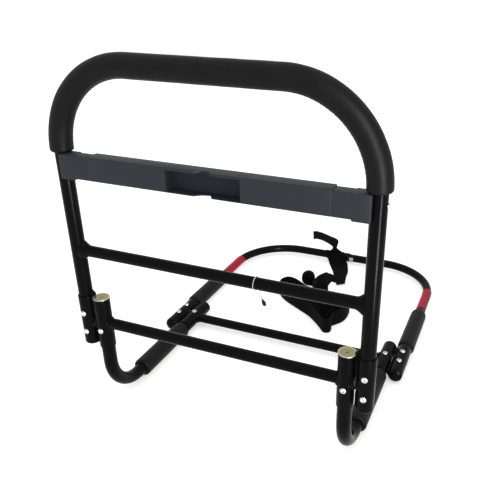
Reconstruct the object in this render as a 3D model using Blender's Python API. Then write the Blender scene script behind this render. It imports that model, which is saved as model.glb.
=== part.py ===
"""Folding bed rail.

A hoop handle with a foam grip and a light bar is hinged to the posts of a low base frame.
A second hoop, which lies under the mattress, is hinged to the rear ends of the base runners.
Each hinge is a pair of parallel sleeves with hubs between them, a pivot bolt and stop teeth.
"""

import math

import bmesh
import bpy
from mathutils import Matrix, Vector

MM = 0.001

# Clearances
GAP = 0.3 * MM
WELD = 0.002 * MM
OVERRUN = 4.0 * MM

# Tubes
TUBE_WALL = 1.5 * MM
LEG_RADIUS = 12.5 * MM
LOOP_RADIUS = 10.5 * MM
CROSS_RADIUS = 10.0 * MM
LEG_SIDES = 16
LOOP_SIDES = 16
BORE_SIDES = 12
SCREW_SIDES = 8
BEND_STEPS = 7

# Main layout, measured between tube centrelines
HANDLE_HALF_WIDTH = 261.2 * MM
HINGE_PITCH = 32.6 * MM
HOOP_HEIGHT = 616.7 * MM
FRONT_AXLE_HEIGHT = 162.4 * MM
REAR_AXLE_RUN = 305.7 * MM
LOOP_REACH = 749.4 * MM
HOOP_BEND = 138.0 * MM
LOOP_BEND = 139.0 * MM
RUNNER_BEND = 77.0 * MM

# Foam
GRIP_RADIUS = 18.7 * MM
GRIP_END_HEIGHT = 476.0 * MM
BASE_FOAM_RADIUS = 18.5 * MM
BASE_FOAM_FLAT = 1.0 * MM
BASE_FOAM_START = 87.0 * MM
BASE_FOAM_END = 247.0 * MM
LOOP_FOAM_RADIUS = 17.8 * MM
LOOP_FOAM_START = 360.0 * MM
LOOP_FOAM_SHOULDER = 507.0 * MM
LOOP_FOAM_END = 526.0 * MM
LOOP_FOAM_TIP_RADIUS = 13.4 * MM
FOAM_EDGE = 2.5 * MM

# Hinges
SLEEVE_RADIUS = 14.5 * MM
SLEEVE_OPEN_REACH = 51.6 * MM
FRONT_DOME_REACH = 51.0 * MM
REAR_DOME_REACH = 55.0 * MM
POST_SLEEVE_REACH = 49.4 * MM
DOME_HEIGHT = 7.0 * MM
DOME_STEPS = 3
HUB_RADIUS = 12.5 * MM
WASHER_THICKNESS = 1.2 * MM
WASHER_RADIUS = 8.6 * MM
PIVOT_RADIUS = 5.0 * MM
PLUG_LENGTH = 12.0 * MM
TOOTH_INNER = 9.2 * MM
TOOTH_OUTER = 11.9 * MM
TOOTH_HEIGHT = 2.9 * MM
TOOTH_ANGLE = 26.0
STOP_CLEARANCE_ANGLE = 2.0
HANDLE_TRAVEL = 90.0
LOOP_TRAVEL = 160.0

# Fasteners
BOLT_RADIUS = 3.0 * MM
BOLT_HEAD_RADIUS = 5.3 * MM
BOLT_HEAD_HEIGHT = 3.0 * MM
BOLT_SOCKET_RADIUS = 2.3 * MM
BOLT_SOCKET_DEPTH = 1.6 * MM
BOLT_SIDES = 8
SEAT_DEPTH = 0.7 * MM
NUT_RADIUS = 5.7 * MM
NUT_HEIGHT = 2.8 * MM
HANDLE_BOLTS = (17.6 * MM, -19.9 * MM)
POST_BOLT = -12.1 * MM
LOOP_BOLTS = (-14.7 * MM, 20.3 * MM)

# Post caps
CAP_RADIUS = 15.0 * MM
CAP_THICKNESS = 2.1 * MM
CAP_RIM_WIDTH = 1.6 * MM
CAP_RIM_HEIGHT = 0.4 * MM
CAP_PLUG_DEPTH = 8.0 * MM
CAP_MARK_RADIUS = 1.2 * MM

# Stop lugs on the handle legs
LUG_BOTTOM = 53.0 * MM
LUG_TOP = 67.0 * MM
LUG_REACH = 19.6 * MM
LUG_TOP_REACH = 14.5 * MM
LUG_THICKNESS = 8.0 * MM

# Handle cross bar
CROSS_BAR_HEIGHT = 303.0 * MM
WELD_FLARE_RADIUS = 12.0 * MM
WELD_FLARE_LENGTH = 5.5 * MM

# Light bar
BAR_BOTTOM = 439.2 * MM
BAR_TOP = 478.6 * MM
BAR_FRONT = 19.1 * MM
BAR_DEPTH = 25.9 * MM
HOUSING_INSET = 61.2 * MM
NECK_INSET = 33.2 * MM
SADDLE_INSET = 6.2 * MM
NECK_DROP = 1.8 * MM
BAR_EDGE = 1.6 * MM
BAR_SHELL = 2.2 * MM
RECESS_CENTRE = 2.4 * MM
RECESS_HALF_WIDTH = 61.5 * MM
RECESS_DEPTH = 20.0 * MM
RECESS_TOP_LIP = 3.8 * MM
RECESS_BOTTOM_LIP = 1.6 * MM
TOP_NOTCH_HALF_WIDTH = 12.5 * MM
TOP_NOTCH_DEPTH = 12.0 * MM
BOTTOM_NOTCH_HALF_WIDTH = 18.0 * MM
BOTTOM_NOTCH_DEPTH = 9.0 * MM
SPIGOT_LENGTH = 9.0 * MM
BAR_SCREW_RADIUS = 2.0 * MM
BAR_SCREW_HEAD_RADIUS = 4.0 * MM
BAR_SCREW_HEAD_HEIGHT = 2.2 * MM
BAR_SCREW_REACH = 24.0 * MM

# Red bands, which start on the straight part of the loop and run into its bend
BAND_LEAD = 69.4 * MM
BAND_LENGTH = 98.0 * MM
BAND_THICKNESS = 0.5 * MM

# Webbing strap
WEBBING_THICKNESS = 2.2 * MM
WEBBING_WIDTH = 38.0 * MM
WRAP_START = -45.0 * MM
WRAP_END = 18.0 * MM
WRAP_LAYER = 1.2 * MM
WRAP_LAYERS = 2
TAIL_NECK_WIDTH = 16.0 * MM
STRAP_LIFT = 0.5 * MM

# Hank of webbing that stands on its edge: points are (x, distance in front of the loop's far side)
HANK_TURNS = 4
HANK_SHRINK = 0.84
HANK_STEPS = 36
HANK_CENTRE = (10.0 * MM, 269.0 * MM)
HANK_LEAD = [
    (45.0 * MM, 129.5 * MM), (26.0 * MM, 132.3 * MM), (6.0 * MM, 139.0 * MM),
    (-8.0 * MM, 160.0 * MM), (-10.0 * MM, 186.0 * MM), (3.0 * MM, 207.0 * MM),
]
HANK_OUTLINE = [
    (28.0 * MM, 218.0 * MM), (70.0 * MM, 224.0 * MM), (93.0 * MM, 243.0 * MM),
    (99.0 * MM, 278.0 * MM), (94.0 * MM, 317.0 * MM), (80.0 * MM, 338.0 * MM),
    (77.5 * MM, 352.0 * MM), (80.0 * MM, 365.0 * MM), (73.0 * MM, 369.0 * MM),
    (64.0 * MM, 361.0 * MM), (14.0 * MM, 322.0 * MM), (-40.0 * MM, 283.0 * MM),
    (-90.0 * MM, 246.0 * MM), (-97.0 * MM, 224.0 * MM), (-84.0 * MM, 204.0 * MM),
    (-62.0 * MM, 206.0 * MM), (-34.0 * MM, 214.0 * MM), (-2.0 * MM, 218.0 * MM),
]

# Rolled strap end beside the hank
ROLL_START = (-62.0 * MM, 164.0 * MM)
ROLL_END = (-50.0 * MM, 121.0 * MM)
ROLL_TURNS = 3
ROLL_TURN_STEPS = 14
ROLL_CORE = 4.5 * MM
ROLL_PITCH = 3.4 * MM
ROLL_LEAD = 58.0 * MM

# Tag string and its toggle
STRING_RADIUS = 0.7 * MM
STRING_X = 76.0 * MM
STRING_STEPS = 12
TOGGLE_OFFSET = 11.0 * MM
TOGGLE_DROP = 27.0 * MM
TOGGLE_RADIUS = 3.0 * MM
TOGGLE_LENGTH = 11.0 * MM

# Places worked out from the sizes above
BASE_HALF_WIDTH = HANDLE_HALF_WIDTH - HINGE_PITCH
BAR_HALF_LENGTH = HANDLE_HALF_WIDTH - HOUSING_INSET
NECK_END = HANDLE_HALF_WIDTH - NECK_INSET
SADDLE_END = HANDLE_HALF_WIDTH - SADDLE_INSET
FLOOR_DROP = BASE_FOAM_RADIUS - BASE_FOAM_FLAT
LOOP_BACK = LOOP_REACH + LOOP_RADIUS + GAP + WRAP_LAYERS * WRAP_LAYER
HANDLE_Y = (BAR_FRONT - LOOP_BACK) / 2
FRONT_AXLE = Vector((0, HANDLE_Y, FLOOR_DROP + FRONT_AXLE_HEIGHT))
REAR_AXLE = Vector((0, HANDLE_Y + REAR_AXLE_RUN, FLOOR_DROP))
FRONT_HINGE = Matrix.Translation(FRONT_AXLE)
REAR_HINGE = Matrix.Translation(REAR_AXLE) @ Matrix.Rotation(math.radians(-90), 4, "X")
SLEEVE_BORE = (LEG_RADIUS + GAP) / math.cos(math.pi / LEG_SIDES)
LOOP_SLEEVE_BORE = (LOOP_RADIUS + GAP) / math.cos(math.pi / LEG_SIDES)
PIVOT_HOLE = (PIVOT_RADIUS + GAP) / math.cos(math.pi / BORE_SIDES)
BOLT_HOLE = (BOLT_RADIUS + GAP) / math.cos(math.pi / BORE_SIDES)
BAR_SCREW_HOLE = (BAR_SCREW_RADIUS + GAP) / math.cos(math.pi / SCREW_SIDES)
HUB_MIDDLE = (HANDLE_HALF_WIDTH + BASE_HALF_WIDTH) / 2
INNER_FACE = HUB_MIDDLE - WASHER_THICKNESS / 2 - GAP
OUTER_FACE = HUB_MIDDLE + WASHER_THICKNESS / 2 + GAP

# Finishes: colour, roughness, metallic
FINISHES = {
    "black_coated_steel": ((0.012, 0.013, 0.013), 0.35, 0.0),
    "black_foam": ((0.008, 0.008, 0.008), 0.8, 0.0),
    "zinc_steel": ((0.62, 0.62, 0.60), 0.3, 1.0),
    "gold_passivated_steel": ((0.55, 0.44, 0.26), 0.32, 1.0),
    "slate_plastic": ((0.04, 0.046, 0.055), 0.5, 0.0),
    "black_plastic": ((0.012, 0.012, 0.012), 0.45, 0.0),
    "nylon": ((0.75, 0.73, 0.68), 0.5, 0.0),
    "red_tape": ((0.5, 0.02, 0.02), 0.4, 0.0),
    "black_webbing": ((0.012, 0.012, 0.013), 0.85, 0.0),
    "white_string": ((0.85, 0.85, 0.83), 0.8, 0.0),
}


def clear_scene():
    for obj in list(bpy.data.objects):
        bpy.data.objects.remove(obj, do_unlink=True)


def at(x, y, z):
    """Point given from the handle's plane and the height of the base tubes' centrelines."""
    return Vector((x, HANDLE_Y + y, FLOOR_DROP + z))


def link(name, data):
    obj = bpy.data.objects.new(name, data)
    bpy.context.scene.collection.objects.link(obj)
    return obj


def evaluated_mesh(obj):
    depsgraph = bpy.context.evaluated_depsgraph_get()
    return bpy.data.meshes.new_from_object(obj.evaluated_get(depsgraph))


def welded(name, bm):
    """Close a bmesh, turn its faces outwards and link it as an object."""
    bmesh.ops.remove_doubles(bm, verts=bm.verts, dist=WELD)
    bmesh.ops.recalc_face_normals(bm, faces=bm.faces)
    mesh = bpy.data.meshes.new(name)
    bm.to_mesh(mesh)
    bm.free()
    return link(name, mesh)


def turned(name, profile, start, direction, sides, phase=0.0):
    """Revolve (radius, height) pairs round the axis that leaves start along direction."""
    bm = bmesh.new()
    verts = [bm.verts.new((radius, 0, height)) for radius, height in profile]
    edges = [bm.edges.new(pair) for pair in zip(verts, verts[1:])]
    if profile[0][0] > 0:
        edges.append(bm.edges.new((verts[-1], verts[0])))
    bmesh.ops.spin(
        bm, geom=verts + edges, axis=(0, 0, 1), cent=(0, 0, 0), angle=math.tau, steps=sides
    )
    turn = Vector(direction).to_track_quat("Z", "Y").to_matrix().to_4x4()
    place = Matrix.Translation(start) @ turn @ Matrix.Rotation(phase, 4, "Z")
    bmesh.ops.transform(bm, matrix=place, verts=bm.verts)
    return welded(name, bm)


def rod(name, radius, start, end, sides):
    start, end = Vector(start), Vector(end)
    length = (end - start).length
    profile = [(0, 0), (radius, 0), (radius, length), (0, length)]
    return turned(name, profile, start, end - start, sides)


def ring(name, inner, outer, start, end, sides):
    start, end = Vector(start), Vector(end)
    length = (end - start).length
    profile = [(inner, 0), (outer, 0), (outer, length), (inner, length)]
    return turned(name, profile, start, end - start, sides)


def block(name, low, high, edge=0.0):
    """Box between two corners, with rounded edges if edge is given."""
    low, high = Vector(low), Vector(high)
    bm = bmesh.new()
    bmesh.ops.create_cube(bm, size=1.0)
    size = Matrix.Diagonal((*(high - low), 1.0))
    bmesh.ops.transform(bm, matrix=Matrix.Translation((low + high) / 2) @ size, verts=bm.verts)
    if edge:
        bmesh.ops.bevel(
            bm, geom=bm.edges, offset=edge, segments=2, profile=0.5, affect="EDGES",
            clamp_overlap=True
        )
    return welded(name, bm)


def prism(name, outline, direction):
    """Extrude a flat closed outline of points along direction."""
    bm = bmesh.new()
    face = bm.faces.new([bm.verts.new(point) for point in outline])
    raised = bmesh.ops.extrude_face_region(bm, geom=[face])
    moved = [item for item in raised["geom"] if isinstance(item, bmesh.types.BMVert)]
    bmesh.ops.translate(bm, vec=direction, verts=moved)
    return welded(name, bm)


def rounded_path(corners, radius, steps):
    """Join square corners by arcs of the given radius."""
    path = [corners[0]]
    for before, corner, after in zip(corners, corners[1:], corners[2:]):
        arrive = (corner - before).normalized()
        leave = (after - corner).normalized()
        centre = corner + (leave - arrive) * radius
        for step in range(steps + 1):
            angle = math.pi / 2 * step / steps
            path.append(centre + (arrive * math.sin(angle) - leave * math.cos(angle)) * radius)
    path.append(corners[-1])
    return path


def lengthened(path, extra):
    """Push both ends of a path outwards."""
    first = path[0] + (path[0] - path[1]).normalized() * extra
    last = path[-1] + (path[-1] - path[-2]).normalized() * extra
    return [first] + path[1:-1] + [last]


def swept(name, path, radius, sides):
    """Solid round bar along a path, from a bevelled curve with filled caps."""
    curve = bpy.data.curves.new(name, "CURVE")
    curve.dimensions = "3D"
    curve.bevel_depth = radius
    curve.bevel_resolution = (sides - 4) // 2
    curve.use_fill_caps = True
    spline = curve.splines.new("POLY")
    spline.points.add(len(path) - 1)
    for knot, point in zip(spline.points, path):
        knot.co = (*point, 1.0)
    guide = link(name + "_guide", curve)
    bm = bmesh.new()
    bm.from_mesh(evaluated_mesh(guide))
    bpy.data.objects.remove(guide, do_unlink=True)
    return welded(name, bm)


def combine(target, tool, operation):
    """Apply one exact Boolean and take the tool away."""
    modifier = target.modifiers.new(tool.name, "BOOLEAN")
    modifier.operation = operation
    modifier.object = tool
    modifier.solver = "EXACT"
    result = evaluated_mesh(target)
    target.modifiers.remove(modifier)
    bm = bmesh.new()
    bm.from_mesh(result)
    bmesh.ops.remove_doubles(bm, verts=bm.verts, dist=WELD)
    bm.to_mesh(target.data)
    bm.free()
    bpy.data.objects.remove(tool, do_unlink=True)


def cut(target, *tools):
    for tool in tools:
        combine(target, tool, "DIFFERENCE")


def fuse(target, *tools):
    for tool in tools:
        combine(target, tool, "UNION")


def hollow_tube(name, path, radius, sides):
    """Bent tube with an open bore."""
    tube = swept(name, path, radius, sides)
    bore = swept("bore", lengthened(path, OVERRUN), radius - TUBE_WALL, BORE_SIDES)
    cut(tube, bore)
    return tube


def finish(obj, finish_name, pivot=None):
    """Give an object its material, smooth round faces and its pivot."""
    mesh = obj.data
    material = bpy.data.materials.get(finish_name)
    if material is None:
        colour, roughness, metallic = FINISHES[finish_name]
        material = bpy.data.materials.new(finish_name)
        material.use_nodes = True
        shader = material.node_tree.nodes["Principled BSDF"]
        shader.inputs["Base Color"].default_value = (*colour, 1.0)
        shader.inputs["Roughness"].default_value = roughness
        shader.inputs["Metallic"].default_value = metallic
    mesh.materials.clear()
    mesh.materials.append(material)
    mesh.shade_smooth()
    mesh.set_sharp_from_angle(angle=math.radians(35))
    if pivot is not None:
        mesh.transform(Matrix.Translation(-pivot.location))
        obj.parent = pivot
    return obj


def make_pivot(name, place):
    pivot = bpy.data.objects.new(name, None)
    pivot.empty_display_size = 0.05
    pivot.location = place
    bpy.context.scene.collection.objects.link(pivot)
    return pivot


def ring_sector(inner, outer, start_angle, end_angle, low_x, high_x):
    """Arc-shaped block round the local X axis; angles run from +Z towards +Y."""
    steps = max(3, round(abs(end_angle - start_angle) / 12))
    angles = [start_angle + (end_angle - start_angle) * i / steps for i in range(steps + 1)]
    turns = [math.radians(angle) for angle in angles]
    outline = [(low_x, outer * math.sin(turn), outer * math.cos(turn)) for turn in turns]
    outline += [(low_x, inner * math.sin(turn), inner * math.cos(turn)) for turn in reversed(turns)]
    return prism("sector", outline, (high_x - low_x, 0, 0))


def bolt_cutter(x, height, end):
    """Clearance hole with a flat seat for the head, from local -Y to the given end."""
    seat = SLEEVE_RADIUS - SEAT_DEPTH
    top = SLEEVE_RADIUS + OVERRUN
    seat_radius = BOLT_HEAD_RADIUS + 2 * GAP
    profile = [(0, -top), (seat_radius, -top), (seat_radius, -seat), (BOLT_HOLE, -seat)]
    profile += [(BOLT_HOLE, end), (0, end)]
    return turned("bolt_hole", profile, (x, 0, height), (0, 1, 0), BORE_SIDES)


def sleeve_body(name, x, open_end, far_end, domed):
    """Outer form of a hinge sleeve, along the local Z axis."""
    sign = 1 if far_end > open_end else -1
    profile = [(0, 0), (SLEEVE_RADIUS, 0)]
    length = abs(far_end - open_end)
    if domed:
        for step in range(DOME_STEPS + 1):
            angle = math.pi / 2 * step / DOME_STEPS
            radius = SLEEVE_RADIUS * math.cos(angle)
            if step == DOME_STEPS:
                radius = 0
            profile.append((radius, length - DOME_HEIGHT + DOME_HEIGHT * math.sin(angle)))
    else:
        profile += [(SLEEVE_RADIUS, length), (0, length)]
    return turned(name, profile, (x, 0, open_end), (0, 0, sign), LEG_SIDES)


def hinge_sleeve(name, hinge, side, inner, bore, open_end, far_end, domed, bolts, pinned=False):
    """One sleeve of a hinge, with its hub, bore, bolt holes and weld nuts; ends are local."""
    x = side * (BASE_HALF_WIDTH if inner else HANDLE_HALF_WIDTH)
    face = side * (INNER_FACE if inner else OUTER_FACE)
    sleeve = sleeve_body(name, x, open_end, far_end, domed)
    fuse(sleeve, rod("hub", HUB_RADIUS, (x, 0, 0), (face, 0, 0), LEG_SIDES))
    sign = 1 if far_end > open_end else -1
    bore_end = far_end - sign * DOME_HEIGHT if domed else far_end + sign * OVERRUN
    cut(sleeve, rod("bore", bore, (x, 0, open_end - sign * OVERRUN), (x, 0, bore_end), LEG_SIDES))
    reach = 2 * SLEEVE_RADIUS
    cut(sleeve, rod("pivot_hole", PIVOT_HOLE, (x - reach, 0, 0), (x + reach, 0, 0), BORE_SIDES))
    for height in bolts:
        if pinned:
            cut(sleeve, bolt_cutter(x, height, 0))
            continue
        nut_end = SLEEVE_RADIUS + NUT_HEIGHT
        fuse(sleeve, rod("weld_nut", NUT_RADIUS, (x, bore, height), (x, nut_end, height), 6))
        cut(sleeve, bolt_cutter(x, height, nut_end + OVERRUN))
    travel = HANDLE_TRAVEL if hinge is FRONT_HINGE else LOOP_TRAVEL
    add_stop(sleeve, side, inner, face, travel)
    sleeve.data.transform(hinge)
    return sleeve


def add_stop(sleeve, side, inner, face, travel):
    """A tooth on the fixed hub that runs in an arc-shaped pocket of the moving hub."""
    half = TOOTH_ANGLE / 2
    if inner:
        root = face - side * TUBE_WALL
        tooth = ring_sector(TOOTH_INNER, TOOTH_OUTER, 180 - half, 180 + half, root,
                            face + side * TOOTH_HEIGHT)
        fuse(sleeve, tooth)
        return
    depth = TOOTH_HEIGHT - (OUTER_FACE - INNER_FACE) + GAP
    start = 180 - half - travel - STOP_CLEARANCE_ANGLE
    end = 180 + half + STOP_CLEARANCE_ANGLE
    pocket = ring_sector(TOOTH_INNER - GAP, HUB_RADIUS + OVERRUN, start, end,
                         face - side * OVERRUN, face + side * depth)
    cut(sleeve, pocket)


def drill_leg(tube, hinge, side, inner, bolts, pinned=False):
    """Pivot hole and bolt holes in a tube that sits in a hinge sleeve."""
    x = side * (BASE_HALF_WIDTH if inner else HANDLE_HALF_WIDTH)
    reach = LEG_RADIUS + OVERRUN
    tools = [rod("pivot_hole", PIVOT_HOLE, (x - reach, 0, 0), (x + reach, 0, 0), BORE_SIDES)]
    for height in bolts:
        end = 0 if pinned else reach
        tools.append(rod("bolt_hole", BOLT_HOLE, (x, -reach, height), (x, end, height), BORE_SIDES))
    for tool in tools:
        tool.data.transform(hinge)
    cut(tube, *tools)


def button_bolt(name, hinge, x, height, end):
    """Button-head bolt whose head faces local -Y; end is where the shank stops."""
    top = -(SLEEVE_RADIUS - SEAT_DEPTH + GAP + BOLT_HEAD_HEIGHT)
    length = end - top
    profile = [
        (0, 0),
        (BOLT_HEAD_RADIUS * 0.62, 0),
        (BOLT_HEAD_RADIUS * 0.9, BOLT_HEAD_HEIGHT * 0.3),
        (BOLT_HEAD_RADIUS, BOLT_HEAD_HEIGHT * 0.75),
        (BOLT_HEAD_RADIUS, BOLT_HEAD_HEIGHT),
        (BOLT_RADIUS, BOLT_HEAD_HEIGHT),
        (BOLT_RADIUS, length),
        (0, length),
    ]
    bolt = turned(name, profile, (x, top, height), (0, 1, 0), BOLT_SIDES)
    socket_end = top + BOLT_SOCKET_DEPTH
    cut(bolt, rod("socket", BOLT_SOCKET_RADIUS, (x, top - GAP, height), (x, socket_end, height), 6))
    bolt.data.transform(hinge)
    return bolt


def bolt_set(name, hinge, inner, heights, pivot=None, pinned=False):
    """The bolts of both sides of a hinge; a pinned one ends just above the pivot bolt."""
    centre = BASE_HALF_WIDTH if inner else HANDLE_HALF_WIDTH
    end = -(PIVOT_RADIUS + GAP) if pinned else SLEEVE_RADIUS + NUT_HEIGHT
    for side, word in ((-1, "left"), (1, "right")):
        for number, height in enumerate(heights, start=1):
            label = f"{name}_bolt_{word}"
            if len(heights) > 1:
                label += f"_{number}"
            bolt = button_bolt(label, hinge, side * centre, height, end)
            finish(bolt, "zinc_steel", pivot)


def pivot_set(name, hinge):
    """Pivot bolts, threaded into the cross tube, and the washers between the hubs."""
    start = HANDLE_HALF_WIDTH + SLEEVE_RADIUS
    length = start - (BASE_HALF_WIDTH - SLEEVE_RADIUS - PLUG_LENGTH)
    chamfer = 2 * GAP
    profile = [(0, 0), (PIVOT_RADIUS - chamfer, 0), (PIVOT_RADIUS, chamfer)]
    profile += [(PIVOT_RADIUS, length), (0, length)]
    for side, word in ((-1, "left"), (1, "right")):
        pin = turned(f"{name}_pivot_bolt_{word}", profile, (side * start, 0, 0), (-side, 0, 0), 16)
        washer = ring(f"{name}_hinge_washer_{word}", PIVOT_HOLE, WASHER_RADIUS,
                      (side * (INNER_FACE + GAP), 0, 0), (side * (OUTER_FACE - GAP), 0, 0), 16)
        for piece in (pin, washer):
            piece.data.transform(hinge)
        finish(pin, "zinc_steel")
        finish(washer, "nylon")


def cross_tube(name, hinge):
    """Tube between the two base sleeves, shaped to them and plugged for the pivot bolts."""
    reach = BASE_HALF_WIDTH
    bore = CROSS_RADIUS - TUBE_WALL
    plug = reach - SLEEVE_RADIUS - PLUG_LENGTH
    profile = [
        (PIVOT_HOLE, 0),
        (CROSS_RADIUS, 0),
        (CROSS_RADIUS, 2 * reach),
        (PIVOT_HOLE, 2 * reach),
        (PIVOT_HOLE, reach + plug),
        (bore, reach + plug),
        (bore, reach - plug),
        (PIVOT_HOLE, reach - plug),
    ]
    tube = turned(name, profile, (-reach, 0, 0), (1, 0, 0), LEG_SIDES)
    for side in (-1, 1):
        x = side * BASE_HALF_WIDTH
        span = 2 * CROSS_RADIUS
        cut(tube, rod("saddle", SLEEVE_RADIUS + GAP, (x, 0, -span), (x, 0, span), LEG_SIDES))
        low_x, high_x = sorted((x, x + side * span))
        cut(tube, block("trim", (low_x, -span, -span), (high_x, span, span)))
    tube.data.transform(hinge)
    finish(tube, "black_coated_steel")


def base_frame():
    """Posts, runners, sleeves, caps and cross tubes of the fixed body."""
    for side, word in ((-1, "left"), (1, "right")):
        x = side * BASE_HALF_WIDTH
        top = FRONT_AXLE_HEIGHT + POST_SLEEVE_REACH - GAP
        end = REAR_AXLE_RUN + REAR_DOME_REACH - DOME_HEIGHT - GAP
        corners = [at(x, 0, top), at(x, 0, 0), at(x, end, 0)]
        tube = hollow_tube("base_tube_" + word, rounded_path(corners, RUNNER_BEND, BEND_STEPS),
                           LEG_RADIUS, LEG_SIDES)
        drill_leg(tube, FRONT_HINGE, side, True, [POST_BOLT])
        drill_leg(tube, REAR_HINGE, side, True, [0.0], pinned=True)
        finish(tube, "black_coated_steel")
        post = hinge_sleeve("front_hinge_sleeve_" + word, FRONT_HINGE, side, True, SLEEVE_BORE,
                            POST_SLEEVE_REACH, -POST_SLEEVE_REACH, False, [POST_BOLT])
        finish(post, "black_coated_steel")
        rear = hinge_sleeve("rear_hinge_sleeve_" + word, REAR_HINGE, side, True, SLEEVE_BORE,
                            -SLEEVE_OPEN_REACH, REAR_DOME_REACH, True, [0.0], pinned=True)
        finish(rear, "black_coated_steel")
        post_cap("end_cap_" + word, x)
        foam = foam_sleeve("base_foam_" + word, x, BASE_FOAM_START, BASE_FOAM_END,
                           BASE_FOAM_END, BASE_FOAM_RADIUS, BASE_FOAM_RADIUS, SLEEVE_BORE)
        finish(foam, "black_foam")
    cross_tube("front_cross_tube", FRONT_HINGE)
    cross_tube("rear_cross_tube", REAR_HINGE)
    bolt_set("base_front", FRONT_HINGE, True, [POST_BOLT])
    bolt_set("base_rear", REAR_HINGE, True, [0.0], pinned=True)
    pivot_set("front", FRONT_HINGE)
    pivot_set("rear", REAR_HINGE)


def post_cap(name, x):
    """Turned cap with a raised rim and a centre mark, plugged into the post."""
    face = CAP_THICKNESS - CAP_RIM_HEIGHT
    rim = CAP_RADIUS - CAP_RIM_WIDTH
    edge = CAP_RIM_HEIGHT
    plug = (LEG_RADIUS - TUBE_WALL) * math.cos(math.pi / BORE_SIDES) - GAP
    profile = [
        (0, face - CAP_RIM_HEIGHT),
        (CAP_MARK_RADIUS, face),
        (rim - edge, face),
        (rim, CAP_THICKNESS),
        (CAP_RADIUS - edge, CAP_THICKNESS),
        (CAP_RADIUS, CAP_THICKNESS - edge),
        (CAP_RADIUS, 0),
        (plug, 0),
        (plug, -CAP_PLUG_DEPTH),
        (0, -CAP_PLUG_DEPTH),
    ]
    seat = at(x, 0, FRONT_AXLE_HEIGHT + POST_SLEEVE_REACH + GAP)
    finish(turned(name, profile, seat, (0, 0, 1), LEG_SIDES), "gold_passivated_steel")


def foam_sleeve(name, x, start, shoulder, end, radius, tip_radius, bore):
    """Foam tube along Y with rounded ends, a tapered rear end and a flat where it stands."""
    length = end - start
    profile = [(bore, 0), (radius - FOAM_EDGE, 0), (radius, FOAM_EDGE)]
    if shoulder < end:
        profile += [(radius, shoulder - start), (tip_radius, length), (bore, length)]
    else:
        profile += [(radius, length - FOAM_EDGE), (radius - FOAM_EDGE, length), (bore, length)]
    foam = turned(name, profile, at(x, start, 0), (0, 1, 0), LEG_SIDES, math.pi / LEG_SIDES)
    low = at(x - 2 * radius, start - OVERRUN, -FLOOR_DROP - 2 * radius)
    high = at(x + 2 * radius, end + OVERRUN, -FLOOR_DROP)
    cut(foam, block("floor_cut", low, high))
    return foam


def handle(pivot):
    """Everything that folds with the hoop handle."""
    foot = FRONT_AXLE_HEIGHT - FRONT_DOME_REACH + DOME_HEIGHT + GAP
    reach = HANDLE_HALF_WIDTH
    corners = [at(-reach, 0, foot), at(-reach, 0, HOOP_HEIGHT), at(reach, 0, HOOP_HEIGHT),
               at(reach, 0, foot)]
    path = rounded_path(corners, HOOP_BEND, BEND_STEPS)
    hoop = hollow_tube("handle_tube", path, LEG_RADIUS, LEG_SIDES)
    screw_height = (BAR_BOTTOM + BAR_TOP) / 2
    for side in (-1, 1):
        drill_leg(hoop, FRONT_HINGE, side, False, HANDLE_BOLTS)
        x = side * reach
        span = LEG_RADIUS + OVERRUN
        cut(hoop, rod("screw_hole", BAR_SCREW_HOLE, at(x - span, 0, screw_height),
                      at(x + span, 0, screw_height), SCREW_SIDES))
    finish(hoop, "black_coated_steel", pivot)
    for side, word in ((-1, "left"), (1, "right")):
        sleeve = hinge_sleeve("handle_sleeve_" + word, FRONT_HINGE, side, False, SLEEVE_BORE,
                              SLEEVE_OPEN_REACH, -FRONT_DOME_REACH, True, HANDLE_BOLTS)
        finish(sleeve, "black_coated_steel", pivot)
        finish(stop_lug("stop_lug_" + word, side), "black_coated_steel", pivot)
        finish(bar_end("light_bar_end_" + word, side), "slate_plastic", pivot)
        finish(bar_screw("light_bar_screw_" + word, side), "zinc_steel", pivot)
    bolt_set("handle", FRONT_HINGE, False, HANDLE_BOLTS, pivot)
    finish(grip_foam(), "black_foam", pivot)
    finish(upper_cross_bar(), "black_coated_steel", pivot)
    finish(bar_housing(), "slate_plastic", pivot)
    tag(pivot)


def grip_foam():
    """Foam grip over the hoop; its ends are notched where the bar's saddles press in."""
    reach = HANDLE_HALF_WIDTH
    corners = [at(-reach, 0, GRIP_END_HEIGHT), at(-reach, 0, HOOP_HEIGHT),
               at(reach, 0, HOOP_HEIGHT), at(reach, 0, GRIP_END_HEIGHT)]
    path = rounded_path(corners, HOOP_BEND, BEND_STEPS)
    foam = swept("grip_foam", path, GRIP_RADIUS, LEG_SIDES)
    cut(foam, swept("bore", lengthened(path, OVERRUN), SLEEVE_BORE, LEG_SIDES))
    for side in (-1, 1):
        inner, outer = sorted((side * (NECK_END - OVERRUN), side * (SADDLE_END + GAP)))
        low = at(inner, -BAR_FRONT - OVERRUN, GRIP_END_HEIGHT - OVERRUN)
        high = at(outer, BAR_DEPTH - BAR_FRONT + GAP, BAR_TOP + GAP)
        cut(foam, block("saddle_notch", low, high))
    return foam


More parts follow.
